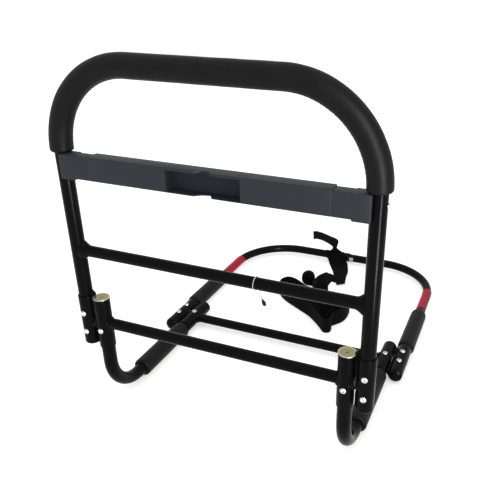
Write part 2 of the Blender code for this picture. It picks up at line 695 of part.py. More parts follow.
def upper_cross_bar():
    """Cross bar with weld flares, shaped to the legs at its ends."""
    reach = HANDLE_HALF_WIDTH
    flare = LEG_RADIUS + WELD_FLARE_LENGTH
    bore = CROSS_RADIUS - TUBE_WALL
    profile = [
        (bore, 0),
        (WELD_FLARE_RADIUS, 0),
        (WELD_FLARE_RADIUS, LEG_RADIUS - WELD_FLARE_LENGTH / 2),
        (CROSS_RADIUS, flare),
        (CROSS_RADIUS, 2 * reach - flare),
        (WELD_FLARE_RADIUS, 2 * reach - LEG_RADIUS + WELD_FLARE_LENGTH / 2),
        (WELD_FLARE_RADIUS, 2 * reach),
        (bore, 2 * reach),
    ]
    bar = turned("upper_crossbar", profile, at(-reach, 0, CROSS_BAR_HEIGHT), (1, 0, 0), LEG_SIDES)
    for side in (-1, 1):
        x = side * reach
        span = 2 * LEG_RADIUS
        cut(bar, rod("saddle", SLEEVE_BORE, at(x, 0, CROSS_BAR_HEIGHT - span),
                     at(x, 0, CROSS_BAR_HEIGHT + span), LEG_SIDES))
        inner, outer = sorted((x, x + side * span))
        cut(bar, block("trim", at(inner, -span, CROSS_BAR_HEIGHT - span),
                       at(outer, span, CROSS_BAR_HEIGHT + span)))
    return bar


def stop_lug(name, side):
    """Small wedge on the inner side of a handle leg, just above its sleeve."""
    base = FRONT_AXLE_HEIGHT
    x = side * HANDLE_HALF_WIDTH
    outline = [
        at(x, -LUG_THICKNESS / 2, base + LUG_BOTTOM),
        at(x - side * LUG_REACH, -LUG_THICKNESS / 2, base + LUG_BOTTOM),
        at(x - side * LUG_REACH, -LUG_THICKNESS / 2, base + LUG_BOTTOM + LUG_THICKNESS / 2),
        at(x - side * LUG_TOP_REACH, -LUG_THICKNESS / 2, base + LUG_TOP),
        at(x, -LUG_THICKNESS / 2, base + LUG_TOP),
    ]
    lug = prism(name, outline, (0, LUG_THICKNESS, 0))
    cut(lug, rod("leg", SLEEVE_BORE, at(x, 0, base), at(x, 0, base + 2 * LUG_TOP), LEG_SIDES))
    return lug


def bar_housing():
    """Moulded light bar: hollow at both ends, with a pocket and finger notches in the middle."""
    back = BAR_DEPTH - BAR_FRONT
    body = block("light_bar_housing", at(-BAR_HALF_LENGTH, -BAR_FRONT, BAR_BOTTOM),
                 at(BAR_HALF_LENGTH, back, BAR_TOP), BAR_EDGE)
    left = RECESS_CENTRE - RECESS_HALF_WIDTH
    right = RECESS_CENTRE + RECESS_HALF_WIDTH
    pocket = block("pocket", at(left, -BAR_FRONT - OVERRUN, BAR_BOTTOM + RECESS_BOTTOM_LIP),
                   at(right, -BAR_FRONT + RECESS_DEPTH, BAR_TOP - RECESS_TOP_LIP))
    top_notch = block("top_notch",
                      at(RECESS_CENTRE - TOP_NOTCH_HALF_WIDTH, -BAR_FRONT - OVERRUN,
                         BAR_TOP - RECESS_TOP_LIP - OVERRUN),
                      at(RECESS_CENTRE + TOP_NOTCH_HALF_WIDTH, -BAR_FRONT + TOP_NOTCH_DEPTH,
                         BAR_TOP + OVERRUN))
    bottom_notch = block("bottom_notch",
                         at(-BOTTOM_NOTCH_HALF_WIDTH, -BAR_FRONT - OVERRUN, BAR_BOTTOM - OVERRUN),
                         at(BOTTOM_NOTCH_HALF_WIDTH, -BAR_FRONT + BOTTOM_NOTCH_DEPTH,
                            BAR_BOTTOM + RECESS_BOTTOM_LIP + OVERRUN))
    chambers = []
    for wall, end in ((left - BAR_SHELL, -BAR_HALF_LENGTH - OVERRUN),
                      (right + BAR_SHELL, BAR_HALF_LENGTH + OVERRUN)):
        inner, outer = sorted((wall, end))
        chambers.append(block("chamber",
                              at(inner, -BAR_FRONT + BAR_SHELL, BAR_BOTTOM + BAR_SHELL),
                              at(outer, back - BAR_SHELL, BAR_TOP - BAR_SHELL)))
    cut(body, pocket, top_notch, bottom_notch, *chambers)
    return body


def bar_end(name, side):
    """Neck and saddle that carry the light bar on a leg, with a spigot into the housing."""
    back = BAR_DEPTH - BAR_FRONT
    start = BAR_HALF_LENGTH + GAP
    low_x, high_x = sorted((side * start, side * (NECK_END + BAR_EDGE)))
    neck = block(name, at(low_x, -BAR_FRONT + NECK_DROP, BAR_BOTTOM + NECK_DROP),
                 at(high_x, back - NECK_DROP, BAR_TOP - NECK_DROP))
    low_x, high_x = sorted((side * NECK_END, side * SADDLE_END))
    saddle = block("saddle", at(low_x, -BAR_FRONT, BAR_BOTTOM), at(high_x, back, BAR_TOP), BAR_EDGE)
    inset = BAR_SHELL + GAP
    low_x, high_x = sorted((side * (start - SPIGOT_LENGTH), side * (start + BAR_EDGE)))
    spigot = block("spigot", at(low_x, -BAR_FRONT + inset, BAR_BOTTOM + inset),
                   at(high_x, back - inset, BAR_TOP - inset))
    fuse(neck, saddle, spigot)
    x = side * HANDLE_HALF_WIDTH
    cut(neck, rod("leg", SLEEVE_BORE, at(x, 0, BAR_BOTTOM - OVERRUN), at(x, 0, BAR_TOP + OVERRUN),
                  LEG_SIDES))
    height = (BAR_BOTTOM + BAR_TOP) / 2
    cut(neck, rod("screw_hole", BAR_SCREW_HOLE, at(x, 0, height),
                  at(x - side * (BAR_SCREW_REACH + GAP), 0, height), SCREW_SIDES))
    return neck


def bar_screw(name, side):
    """Pan-head screw through a leg into the saddle."""
    head = BAR_SCREW_HEAD_HEIGHT
    top = LEG_RADIUS + GAP + head
    length = top + BAR_SCREW_REACH
    profile = [
        (0, 0),
        (BAR_SCREW_HEAD_RADIUS * 0.7, 0),
        (BAR_SCREW_HEAD_RADIUS, head * 0.5),
        (BAR_SCREW_HEAD_RADIUS, head),
        (BAR_SCREW_RADIUS, head),
        (BAR_SCREW_RADIUS, length),
        (0, length),
    ]
    start = at(side * (HANDLE_HALF_WIDTH + top), 0, (BAR_BOTTOM + BAR_TOP) / 2)
    return turned(name, profile, start, (-side, 0, 0), SCREW_SIDES)


def tag(pivot):
    """String tied round the cross bar, and the toggle that closes it."""
    radius = CROSS_RADIUS + GAP + STRING_RADIUS
    fall = Vector((0.45, 0, -1)).normalized()
    seat = at(STRING_X + TOGGLE_OFFSET, 0, CROSS_BAR_HEIGHT - TOGGLE_DROP)
    spread = Vector((0, STRING_RADIUS + GAP, 0))
    straight = fall * TOGGLE_RADIUS
    turn = []
    for step in range(STRING_STEPS + 1):
        angle = math.radians(-110 + 220 * step / STRING_STEPS)
        turn.append(at(STRING_X + STRING_RADIUS * step / STRING_STEPS, radius * math.sin(angle),
                       CROSS_BAR_HEIGHT + radius * math.cos(angle)))
    front = [seat - spread, seat - spread - straight]
    back = [seat + spread - straight, seat + spread]
    string = swept("tag_string", front + turn + back, STRING_RADIUS, 8)
    finish(string, "white_string", pivot)
    profile = [(0, 0), (TOGGLE_RADIUS * 0.7, 0), (TOGGLE_RADIUS, TOGGLE_LENGTH * 0.3),
               (TOGGLE_RADIUS, TOGGLE_LENGTH * 0.75), (TOGGLE_RADIUS * 0.5, TOGGLE_LENGTH),
               (0, TOGGLE_LENGTH)]
    toggle = turned("tag_toggle", profile, seat + fall * GAP, fall, 10)
    finish(toggle, "black_plastic", pivot)


def loop(pivot):
    """Everything that folds with the hoop under the mattress."""
    start = REAR_AXLE_RUN - REAR_DOME_REACH + DOME_HEIGHT + GAP
    reach = HANDLE_HALF_WIDTH
    corners = [at(-reach, start, 0), at(-reach, LOOP_REACH, 0), at(reach, LOOP_REACH, 0),
               at(reach, start, 0)]
    hoop = hollow_tube("loop_tube", rounded_path(corners, LOOP_BEND, BEND_STEPS), LOOP_RADIUS,
                       LOOP_SIDES)
    for side, word in ((-1, "left"), (1, "right")):
        drill_leg(hoop, REAR_HINGE, side, False, LOOP_BOLTS)
        sleeve = hinge_sleeve("loop_sleeve_" + word, REAR_HINGE, side, False, LOOP_SLEEVE_BORE,
                              SLEEVE_OPEN_REACH, -REAR_DOME_REACH, True, LOOP_BOLTS)
        finish(sleeve, "black_coated_steel", pivot)
        foam = foam_sleeve("loop_foam_" + word, side * reach, LOOP_FOAM_START,
                           LOOP_FOAM_SHOULDER, LOOP_FOAM_END, LOOP_FOAM_RADIUS,
                           LOOP_FOAM_TIP_RADIUS, LOOP_SLEEVE_BORE)
        finish(foam, "black_foam", pivot)
        finish(red_band("red_band_" + word, side), "red_tape", pivot)
    finish(hoop, "black_coated_steel", pivot)
    bolt_set("loop", REAR_HINGE, False, LOOP_BOLTS, pivot)
    strap(pivot)


def stretch(path, start, length):
    """The part of a path that begins at a distance from its first point."""
    result = []
    passed = 0.0
    for before, after in zip(path, path[1:]):
        step = (after - before).length
        for distance in (start, start + length):
            if passed < distance <= passed + step:
                result.append(before.lerp(after, (distance - passed) / step))
        passed += step
        if start < passed < start + length:
            result.append(after)
    return result


def red_band(name, side):
    """Tape round the loop, along its straight part and the beginning of its bend."""
    x = side * HANDLE_HALF_WIDTH
    corners = [at(x, REAR_AXLE_RUN, 0), at(x, LOOP_REACH, 0), at(0, LOOP_REACH, 0)]
    path = rounded_path(corners, LOOP_BEND, BEND_STEPS)
    bend_start = LOOP_REACH - LOOP_BEND - REAR_AXLE_RUN
    path = stretch(path, bend_start - BAND_LEAD, BAND_LENGTH)
    band = swept(name, path, LOOP_SLEEVE_BORE + BAND_THICKNESS, LOOP_SIDES)
    cut(band, swept("bore", lengthened(path, OVERRUN), LOOP_SLEEVE_BORE, LOOP_SIDES))
    return band


def ribbon(name, stations):
    """Webbing through (centre, across) stations; across reaches from its middle to its edge."""
    bm = bmesh.new()
    rows = []
    for centre, across in stations:
        across = Vector(across)
        rows.append((bm.verts.new(centre - across), bm.verts.new(centre + across)))
    for (left, right), (next_left, next_right) in zip(rows, rows[1:]):
        bm.faces.new((left, right, next_right, next_left))
    mesh = bpy.data.meshes.new(name)
    bm.to_mesh(mesh)
    bm.free()
    strip = link(name, mesh)
    solid = strip.modifiers.new("thickness", "SOLIDIFY")
    solid.thickness = WEBBING_THICKNESS
    solid.offset = 0.0
    solid.use_even_offset = True
    thick = evaluated_mesh(strip)
    strip.modifiers.clear()
    bm = bmesh.new()
    bm.from_mesh(thick)
    bmesh.ops.recalc_face_normals(bm, faces=bm.faces)
    bm.to_mesh(strip.data)
    bm.free()
    return strip


def before_far_side(point, height):
    """Place on the floor's plan, from (x, distance in front of the loop's far side)."""
    x, distance = point
    return at(x, LOOP_REACH - distance, height)


def on_closed_curve(points, turn):
    """Smooth closed curve through points; one turn runs through all of them once."""
    count = len(points)
    whole = math.floor(turn * count)
    share = turn * count - whole
    before, here, ahead, after = (Vector(points[(whole + shift) % count]) for shift in (-1, 0, 1, 2))
    return 0.5 * (
        2 * here
        + (ahead - before) * share
        + (2 * before - 5 * here + 4 * ahead - after) * share ** 2
        + (3 * here - before - 3 * ahead + after) * share ** 3
    )


def hank_route():
    """Plan of the hank: a lead, then turns round its outline that shrink towards its centre."""
    centre = Vector(HANK_CENTRE)
    route = [Vector(point) for point in HANK_LEAD]
    for step in range(HANK_TURNS * HANK_STEPS + 1):
        turn = step / HANK_STEPS
        point = on_closed_curve(HANK_OUTLINE, turn)
        route.append(centre + (point - centre) * HANK_SHRINK ** turn)
    return route


def least_gap(route):
    """Smallest clear distance between webbing layers on a route that are not neighbours."""
    least = math.inf
    for index, (start, end) in enumerate(zip(route, route[1:])):
        along = end - start
        for other, point in enumerate(route):
            if abs(other - index) > HANK_STEPS / 3:
                share = min(1.0, max(0.0, (point - start).dot(along) / along.length_squared))
                least = min(least, (point - start - along * share).length)
    return least - WEBBING_THICKNESS


def roll_stations(height):
    """A spiral of webbing that lies on the floor, and its lead along the floor."""
    start = before_far_side(ROLL_START, height)
    end = before_far_side(ROLL_END, height)
    across = (end - start) / 2
    middle = start + across
    sideways = across.cross(Vector((0, 0, 1))).normalized()
    radius = ROLL_CORE + ROLL_TURNS * ROLL_PITCH
    axis = middle + Vector((0, 0, radius))
    stations = [(middle + sideways * ROLL_LEAD, across)]
    for step in range(ROLL_TURNS * ROLL_TURN_STEPS + 1):
        turn = step / ROLL_TURN_STEPS
        angle = math.tau * turn
        reach = radius - turn * ROLL_PITCH
        offset = -sideways * math.sin(angle) - Vector((0, 0, 1)) * math.cos(angle)
        stations.append((axis + offset * reach, across))
    return stations


def strap(pivot):
    """Webbing strap: turns round the loop, free tail, flat run, hank and rolled end."""
    inner = LOOP_RADIUS + GAP
    outer = inner + WRAP_LAYER
    overlap = (WRAP_END - WRAP_START) / 4
    middle = (WRAP_END - WRAP_START) / 2
    crest = inner + WRAP_LAYERS * WRAP_LAYER
    profile = [
        (inner, 0), (outer, 0), (outer, middle - overlap), (crest, middle - overlap),
        (crest, middle + overlap), (outer, middle + overlap), (outer, 2 * middle), (inner, 2 * middle),
    ]
    wrap = turned("strap_wrap", profile, at(WRAP_START, LOOP_REACH, 0), (1, 0, 0), LOOP_SIDES)
    finish(wrap, "black_webbing", pivot)
    half = WEBBING_THICKNESS / 2
    neck = TAIL_NECK_WIDTH / 2
    wide = WEBBING_WIDTH / 2
    tail = [
        (at(-14 * MM, LOOP_REACH, crest + GAP), (0, neck, 0)),
        (at(-14 * MM, LOOP_REACH, 34 * MM), (0, neck, 0)),
        (at(-22 * MM, LOOP_REACH - 4 * MM, 48 * MM), (-0.2 * neck, 1.4 * neck, 0.1 * neck)),
        (at(-42 * MM, LOOP_REACH - 8 * MM, 56 * MM), (-0.25 * wide, 0.92 * wide, 0.1 * wide)),
        (at(-66 * MM, LOOP_REACH - 9 * MM, 58 * MM), (-0.27 * wide, 0.93 * wide, 0.15 * wide)),
        (at(-85 * MM, LOOP_REACH - 9 * MM, 54 * MM), (-0.27 * wide, 0.93 * wide, 0.15 * wide)),
    ]
    finish(ribbon("strap_tail", tail), "black_webbing", pivot)
    floor = -FLOOR_DROP + STRAP_LIFT
    lying = floor + half
    front = LOOP_REACH - crest - GAP - half
    across = Vector((wide, 0, 0))
    corner, middle = (before_far_side(point, lying) for point in HANK_LEAD[:2])
    along_lead = (corner - middle).normalized()
    behind_lead = Vector((-along_lead.y, along_lead.x, 0)) * (half + 2 * GAP)
    band = [
        (at(-12 * MM, front, 3 * MM), across),
        (at(-12 * MM, front, -3 * MM), across),
        (at(-9 * MM, front - 6 * MM, lying), across),
        (at(6 * MM, front - 50 * MM, lying), across),
        (middle + behind_lead, along_lead * wide),
    ]
    finish(ribbon("strap_band", band), "black_webbing", pivot)
    route = hank_route()
    print(f"least gap between the hank's layers: {least_gap(route) / MM:.2f} mm")
    upright = Vector((0, 0, wide))
    hank = [(before_far_side(point, floor + wide), upright) for point in route]
    bundle = ribbon("strap_bundle", hank)
    fuse(bundle, ribbon("roll", roll_stations(lying)))
    finish(bundle, "black_webbing", pivot)


def build():
    clear_scene()
    base_frame()
    handle(make_pivot("handle_pivot", FRONT_AXLE))
    loop(make_pivot("loop_pivot", REAR_AXLE))


build()
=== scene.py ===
"""Folding bed rail: finishes, hinges, foam, light bar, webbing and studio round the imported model.

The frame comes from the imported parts. Each operator below makes one piece or one group of like
pieces in metres, in the frame of those parts, and main() calls them in order.
"""

import math

import bmesh
import bpy
from mathutils import Matrix, Vector, noise


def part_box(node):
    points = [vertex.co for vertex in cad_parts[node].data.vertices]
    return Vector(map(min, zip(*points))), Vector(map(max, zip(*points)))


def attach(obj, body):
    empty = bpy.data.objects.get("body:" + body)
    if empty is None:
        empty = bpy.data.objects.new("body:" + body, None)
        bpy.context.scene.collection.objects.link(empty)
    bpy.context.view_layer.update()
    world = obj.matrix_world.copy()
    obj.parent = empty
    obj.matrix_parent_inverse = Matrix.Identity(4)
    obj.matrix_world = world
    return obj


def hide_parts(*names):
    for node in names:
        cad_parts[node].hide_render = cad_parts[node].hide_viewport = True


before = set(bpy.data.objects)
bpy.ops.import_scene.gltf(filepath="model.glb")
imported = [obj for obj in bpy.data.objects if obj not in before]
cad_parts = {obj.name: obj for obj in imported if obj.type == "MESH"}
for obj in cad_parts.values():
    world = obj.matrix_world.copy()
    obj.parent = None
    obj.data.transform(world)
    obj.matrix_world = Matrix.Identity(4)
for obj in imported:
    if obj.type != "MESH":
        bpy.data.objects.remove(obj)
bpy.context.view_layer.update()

bl_info = {
    "name": "Folding bed rail",
    "version": (1, 0, 0),
    "blender": (4, 5, 0),
    "location": "3D View > Sidebar > Bed rail",
    "description": "Tubes, hinges, foam, light bar and webbing of a folding bed rail, with its studio",
    "category": "Object",
}

MM = 0.001
LEFT_AND_RIGHT = ((-1, "left"), (1, "right"))


def middle(node):
    """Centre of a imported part's box."""
    low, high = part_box(node)
    return (low + high) / 2


# Finish of each material slot
FINISHES = {
    "coated_steel": "satin_powder_coat", "zinc_steel": "zinc_plate",
    "gold_steel": "yellow_passivated_plate", "foam": "closed_cell_foam",
    "bar_plastic": "textured_moulding", "black_plastic": "black_moulding",
    "nylon": "natural_nylon", "red_tape": "red_vinyl_tape", "webbing": "woven_webbing",
    "string": "waxed_cotton_string",
}


def metres(rows):
    """Rows of lengths in millimetres as rows in metres."""
    return [tuple(value * MM for value in row) for row in rows]


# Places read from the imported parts
FRONT_AXLE = middle("front_cross_tube")
REAR_AXLE = middle("rear_cross_tube")
HANDLE_HALF_WIDTH = middle("handle_bolt_right_1").x
BASE_HALF_WIDTH = middle("base_front_bolt_right").x
CROSS_BAR = middle("upper_crossbar")

# Clearances: between pieces, past a cut, and how far a welded end sinks into its neighbour
GAP = 0.3 * MM
OVERRUN = 4.0 * MM
WELD_SINK = 2.0 * MM

# Tubes, and the cross bar's flares, which spread further up and down than sideways
LEG_RADIUS = 12.5 * MM
LOOP_RADIUS = 10.5 * MM
CROSS_RADIUS = 10.0 * MM
BORE = LEG_RADIUS + GAP
LOOP_BORE = LOOP_RADIUS + GAP
BORE_ON_CROSS_BAR = CROSS_RADIUS + GAP
FLARE_LENGTH = 9.0 * MM
FLARE_SPREAD = 7.0 * MM
FLARE_EDGE = 0.4 * MM
FLARE_STEPS = 12
FLARE_CURVE = 1.3
FLARE_TALLNESS = 6
TUBE_SIDES = 56
FINE_SIDES = 72
BEND_STEPS = 28

# Heights above the base tubes' centrelines and distances behind the handle's plane
HOOP_HEIGHT = 616.7 * MM
LOOP_REACH = 749.4 * MM
HOOP_BEND = 138.0 * MM
LOOP_BEND = 139.0 * MM
RUNNER_BEND = 77.0 * MM
AXLE_HEIGHT = FRONT_AXLE.z - REAR_AXLE.z
AXLE_RUN = REAR_AXLE.y - FRONT_AXLE.y
FLOOR_DROP = REAR_AXLE.z

# Hinges
SLEEVE_RADIUS = 14.5 * MM
SLEEVE_OPEN_REACH = 51.6 * MM
FRONT_DOME_REACH = 51.0 * MM
REAR_DOME_REACH = 55.0 * MM
POST_SLEEVE_REACH = 49.4 * MM
DOME_HEIGHT = 7.0 * MM
DOME_STEPS = 14
SLEEVE_RIM = 0.8 * MM
SEAM_WIDTH = 1.4 * MM
SEAM_DEPTH = 0.9 * MM
HUB_RADIUS = 12.5 * MM
HUB_EDGE = 0.7 * MM
WASHER_THICKNESS = 1.2 * MM
HUB_MIDDLE = (HANDLE_HALF_WIDTH + BASE_HALF_WIDTH) / 2
INNER_FACE = HUB_MIDDLE - WASHER_THICKNESS / 2 - GAP
OUTER_FACE = HUB_MIDDLE + WASHER_THICKNESS / 2 + GAP
TOOTH_INNER = 9.2 * MM
TOOTH_OUTER = 11.9 * MM
TOOTH_HEIGHT = 2.9 * MM
TOOTH_ROOT = 1.5 * MM
TOOTH_ANGLE = 26.0
SECTOR_ANGLE = 4.0
SECTOR_STEPS = 6
STOP_CLEARANCE_ANGLE = 2.0
HANDLE_TRAVEL = 90.0
LOOP_TRAVEL = 160.0
PIVOT_RADIUS = 5.0 * MM
FRONT_HINGE = Matrix.Translation(FRONT_AXLE)
REAR_HINGE = Matrix.Translation(REAR_AXLE) @ Matrix.Rotation(math.radians(-90), 4, "X")

# Ring vertices start a little off the planes of symmetry, where exact Booleans stumble
LATHE_START = math.radians(0.6)

# Widths of the openings that are closed after a shape is turned and after a Boolean
POLE_WIDTH = 0.001 * MM
SLIVER_WIDTH = 0.004 * MM

# Beads of welds and stitches: length over width, and how uneven they are
WELD_STRETCH = 0.75
WELD_UNEVENNESS = 0.08
STITCH_STRETCH = 2.6
STITCH_UNEVENNESS = 0.05

# Fasteners
BOLT_RADIUS = 3.0 * MM
HEAD_RADIUS = 5.3 * MM
HEAD_HEIGHT = 3.0 * MM
SOCKET_RADIUS = 2.35 * MM
SOCKET_DEPTH = 1.8 * MM
SEAT_DEPTH = 0.7 * MM
NUT_RADIUS = 5.7 * MM
NUT_HEIGHT = 2.8 * MM
THREAD_PITCH = 1.0 * MM
THREAD_DEPTH = 0.35 * MM
THREAD_LENGTH = 9.0 * MM
HEAD_STEPS = 8
HEAD_FLAT = 0.45
HEAD_RIM = 0.25
BOLT_SIDES = 40
NUT_SIDES = 48
NUT_CORNER = 0.8 * MM
HOLE_SIDES = 32
HANDLE_BOLTS = (17.6 * MM, -19.9 * MM)
POST_BOLT = -12.1 * MM
LOOP_BOLTS = (-14.7 * MM, 20.3 * MM)
BAR_SCREW_RADIUS = 2.0 * MM
BAR_SCREW_HEAD_RADIUS = 4.5 * MM
BAR_SCREW_HEAD_HEIGHT = 2.2 * MM
BAR_SCREW_REACH = 24.0 * MM
BAR_SCREW_SLOT = 1.0 * MM
BAR_SCREW_SLOT_REACH = 0.55
BAR_SCREW_SLOT_FLOOR = 0.4
BAR_SCREW_EDGE = 0.8 * MM
# Outline of the screw's head, as shares of its radius and height
BAR_SCREW_HEAD = ((0, 1), (0.8, 0.85), (1, 0.3), (1, 0))

# Post caps
CAP_RADIUS = 15.0 * MM
CAP_THICKNESS = 2.1 * MM
CAP_RIM_WIDTH = 1.3 * MM
CAP_RIM_HEIGHT = 0.4 * MM
CAP_PLUG_RADIUS = 10.2 * MM
CAP_PLUG_DEPTH = 8.0 * MM
CAP_SLOT_LENGTH = 7.0 * MM
CAP_SLOT_WIDTH = 1.6 * MM
CAP_SLOT_DEPTH = 1.1 * MM
CAP_SLOT_TURN = math.radians(48)
CAP_EDGE = 0.35 * MM
# Below this height the cap takes the coat's black as painted shade.
CAP_SHADE_HEIGHT = 0.5 * MM
CAP_DISH_SLACK = 0.02 * MM

# Stop lugs, as heights above the front axle and reaches from the leg's centreline
LUG_BOTTOM = 52.0 * MM
LUG_TOP = 61.0 * MM
LUG_REACH = 19.6 * MM
LUG_TOP_REACH = 14.5 * MM
LUG_THICKNESS = 8.0 * MM
LUG_EDGE = 0.8 * MM

# Ribs beside the hinge sleeves, as distances from the axle
RIB_START = 15.5 * MM
RIB_REACH = 46.0 * MM
RIB_HALF_WIDTH = 5.0 * MM
RIB_THICKNESS = 3.5 * MM
THIN_RIB = 1.7 * MM

# Foam
FOAM_STEP = 3.0 * MM
FOAM_SIDES = 72
FOAM_EDGE = 4.2 * MM
FOAM_EDGE_STEPS = 7
FOAM_SWELL_SIZE = 28.0 * MM
FOAM_SWELL_DEPTH = 0.22 * MM
FOAM_FOLD_PITCH = 9.0 * MM
GRIP_RADIUS = 18.7 * MM
GRIP_END_HEIGHT = 477.5 * MM
GRIP_EASE = 4.0 * MM
BASE_FOAM_RADIUS = 18.5 * MM
BASE_FOAM_START = 87.0 * MM
BASE_FOAM_END = 247.0 * MM
LOOP_FOAM_RADIUS = 17.8 * MM
LOOP_FOAM_START = 360.0 * MM
LOOP_FOAM_SHOULDER = 502.0 * MM
LOOP_FOAM_END = 526.0 * MM
LOOP_FOAM_TIP_RADIUS = 12.2 * MM

# Light bar
BAR_BOTTOM = 439.2 * MM
BAR_TOP = 478.6 * MM
BAR_FRONT = 19.1 * MM
BAR_DEPTH = 25.9 * MM
BAR_HALF_LENGTH = HANDLE_HALF_WIDTH - 61.2 * MM
NECK_END = HANDLE_HALF_WIDTH - 33.2 * MM
SADDLE_END = HANDLE_HALF_WIDTH - 6.2 * MM
NECK_DROP = 1.8 * MM
SADDLE_DROP = 2.4 * MM
BAR_EDGE = 1.6 * MM
POCKET_EDGE = 0.3 * MM
POCKET_CENTRE = 2.4 * MM
POCKET_HALF_WIDTH = 61.5 * MM
POCKET_DEPTH = 20.0 * MM
POCKET_TOP_LIP = 3.8 * MM
POCKET_BOTTOM_LIP = 1.6 * MM
TOP_NOTCH = metres([(-10.5, 0), (-3.5, 8), (13.5, 8), (15.5, 0)])
BOTTOM_NOTCH = metres([(-15, 0), (-4, 9), (9, 12.5), (17.5, 0)])
NOTCH_EDGE = 0.4 * MM
SADDLE_EDGE = 0.5 * MM
# Depth behind the bar's front where the pocket's painted shade begins
POCKET_SHADE_START = 0.7 * MM
HOUSING_WALL = 2.0 * MM

# Red bands
BAND_LEAD = 81.0 * MM
BAND_LENGTH = 98.0 * MM
BAND_THICKNESS = 0.5 * MM
BAND_STEPS = 40
BAND_SEAM = math.radians(200)
BAND_LAP = math.radians(28)
# The rolled edge: (distance from the end, height of the tape) as shares of its thickness
BAND_ROLL = ((0.0, 0.15), (0.3, 0.7), (1.0, 1.0))

# Webbing: ribs of the weave and the thinner selvedge, as shares of half the width
WEBBING_RIBS = 11
WEAVE_SAMPLES = 4
WEAVE_HEIGHT = 0.22 * MM
WEAVE_ROUNDNESS = 0.7
SELVEDGE_START = 0.95
SELVEDGE_THINNEST = 0.25
STRAP_LIFT = 0.5 * MM
STRAP_FLOOR = STRAP_LIFT - FLOOR_DROP

# Windings round the loop; a turn laps the one before
WRAP_START = -53.0 * MM
WRAP_ADVANCE = 16.5 * MM
WRAP_TURNS = 2
WRAP_STEPS = 72
WRAP_LAYER = 1.3 * MM
WRAP_START_ANGLE = math.radians(60)
WRAP_LAP_WIDTH = 2.0 * MM
WRAP_LAP_START = 0.96
WRAP_LAP_TURN = 0.08
WRAP_HEIGHT = 2.4 * MM
WRAP_CREST = LOOP_RADIUS + GAP + WRAP_HEIGHT

# Folded strap; plan points are (x, distance in front of the loop's far side)
TAIL_STEPS = 10
HANK_TURNS = 6
HANK_SHRINK = 0.84
HANK_STEPS = 90
HANK_LEAN = 0.10
HANK_CENTRE = (10.0 * MM, 275.0 * MM)
HANK_LEAD_STEPS = 8
HANK_LEAN_PATCH = 70.0 * MM
HANK_RISE = 1.2 * MM
HANK_RISE_PATCH = 45.0 * MM
HANK_LEAD = metres([(-15.5, 193), (-15, 214), (-1, 234)])
HANK_OUTLINE = metres([
    (28, 245), (68, 246), (92, 250), (99.5, 270), (100, 300), (94, 320), (80, 343), (84, 358),
    (84, 373), (73, 379), (61, 369), (44, 351), (7, 317), (-50, 285), (-99, 249.5), (-108, 224),
    (-101, 205.5), (-89, 199.5), (-69, 205.5), (-48.5, 219), (-22, 236),
])
ROLL_START = (-34.0 * MM, 194.0 * MM)
ROLL_END = (-46.5 * MM, 158.0 * MM)
ROLL_TURNS = 7.5
ROLL_TURN_STEPS = 32
ROLL_CORE = 1.7 * MM
ROLL_PITCH = 2.1 * MM
ROLL_LEAD = 52.0 * MM
ROLL_LEAD_SHARES = (1.0, 0.8, 0.6, 0.4, 0.2)
ROLL_TILT = math.radians(20)

# The strap's way into the hank: its lower and its upper edge, each as plan point and height
LEAD_EDGES = [metres(edges) for edges in (
    ((26, 129, 0), (26, 91, 0)),
    ((17, 129, 0), (14, 90, 0)),
    ((9.3, 128, 0), (-2, 89, 1)),
    ((7.6, 136, 0), (-5.2, 102, 10)),
    ((7.1, 146, 0), (-4.5, 118, 19)),
    ((6.3, 156, 0), (-3.5, 132, 28)),
    ((5, 167, 0), (-3, 146, 35)),
    ((-1, 171, 0), (-6.5, 157, 37)),
    ((-7.5, 178, 0.5), (-10.5, 168, 37.5)),
    ((-13, 187, 1), (-14, 180, 38)),
)]

# The free end: plan point and height of its middle, then the way from the middle to an edge
TAIL = [metres(station) for station in (
    ((-24, 0, 11), (23, 4, 0)),
    ((-23, 4, 17), (13, 5, 0)),
    ((-22.8, 7, 26), (5, 4, 0)),
    ((-21.5, 9, 33), (5, 8, 3)),
    ((-20.5, 9, 40), (3, 15, 5)),
    ((-27, 9, 45), (-1, 18, 4.5)),
    ((-37.5, 9, 48.8), (-4, 18, 4)),
    ((-55.6, 9, 55), (-6, 17.5, 4)),
    ((-73.6, 9, 58.2), (-6.4, 17.4, 4)),
    ((-87.4, 9, 56.2), (-6.6, 17.4, 4)),
)]

# The flat run, in mm: (x, distance in front of the windings, height), then the way from its
# middle to an edge as shares of half the width; on the floor, heights start above the fold
FLAT_RUN_START = (
    ((-14, -2, 5), (1.6, 0, 0)),
    ((-13, 0, -3), (1.5, 0, 0)),
)
FLAT_RUN_ON_FLOOR = (
    ((-5, 9, -1), (1.32, 0.3, 0)),
    ((14, 53, 0), (1.03, 0.4, 0)),
    ((24, 86, 1), (0.78, 0.32, 0.06)),
    ((35, 118, 3), (0.6, 0.22, 0.15)),
    ((37, 124, 1.5), (0.56, 0.2, 0.12)),
    ((36, 121, -0.5), (0.56, 0.2, 0.1)),
)

# Seams across the free end: stations from its tip, and share of the width
SEAM_ROWS = (4, 12)
SEAM_REACH = 0.82

# Clip and keeper beside the windings
CLIP_X = 27.0 * MM
CLIP_WIDTH = 11.0 * MM
CLIP_THICKNESS = 1.1 * MM
CLIP_EDGE = 0.4 * MM
CLIP_START = math.radians(152)
CLIP_END = math.radians(238)
CLIP_STEPS = 24
KEEPER_X = 15.5 * MM
KEEPER_WIDTH = 4.5 * MM
KEEPER_RADIUS = 12.2 * MM
KEEPER_EDGE = 0.5 * MM

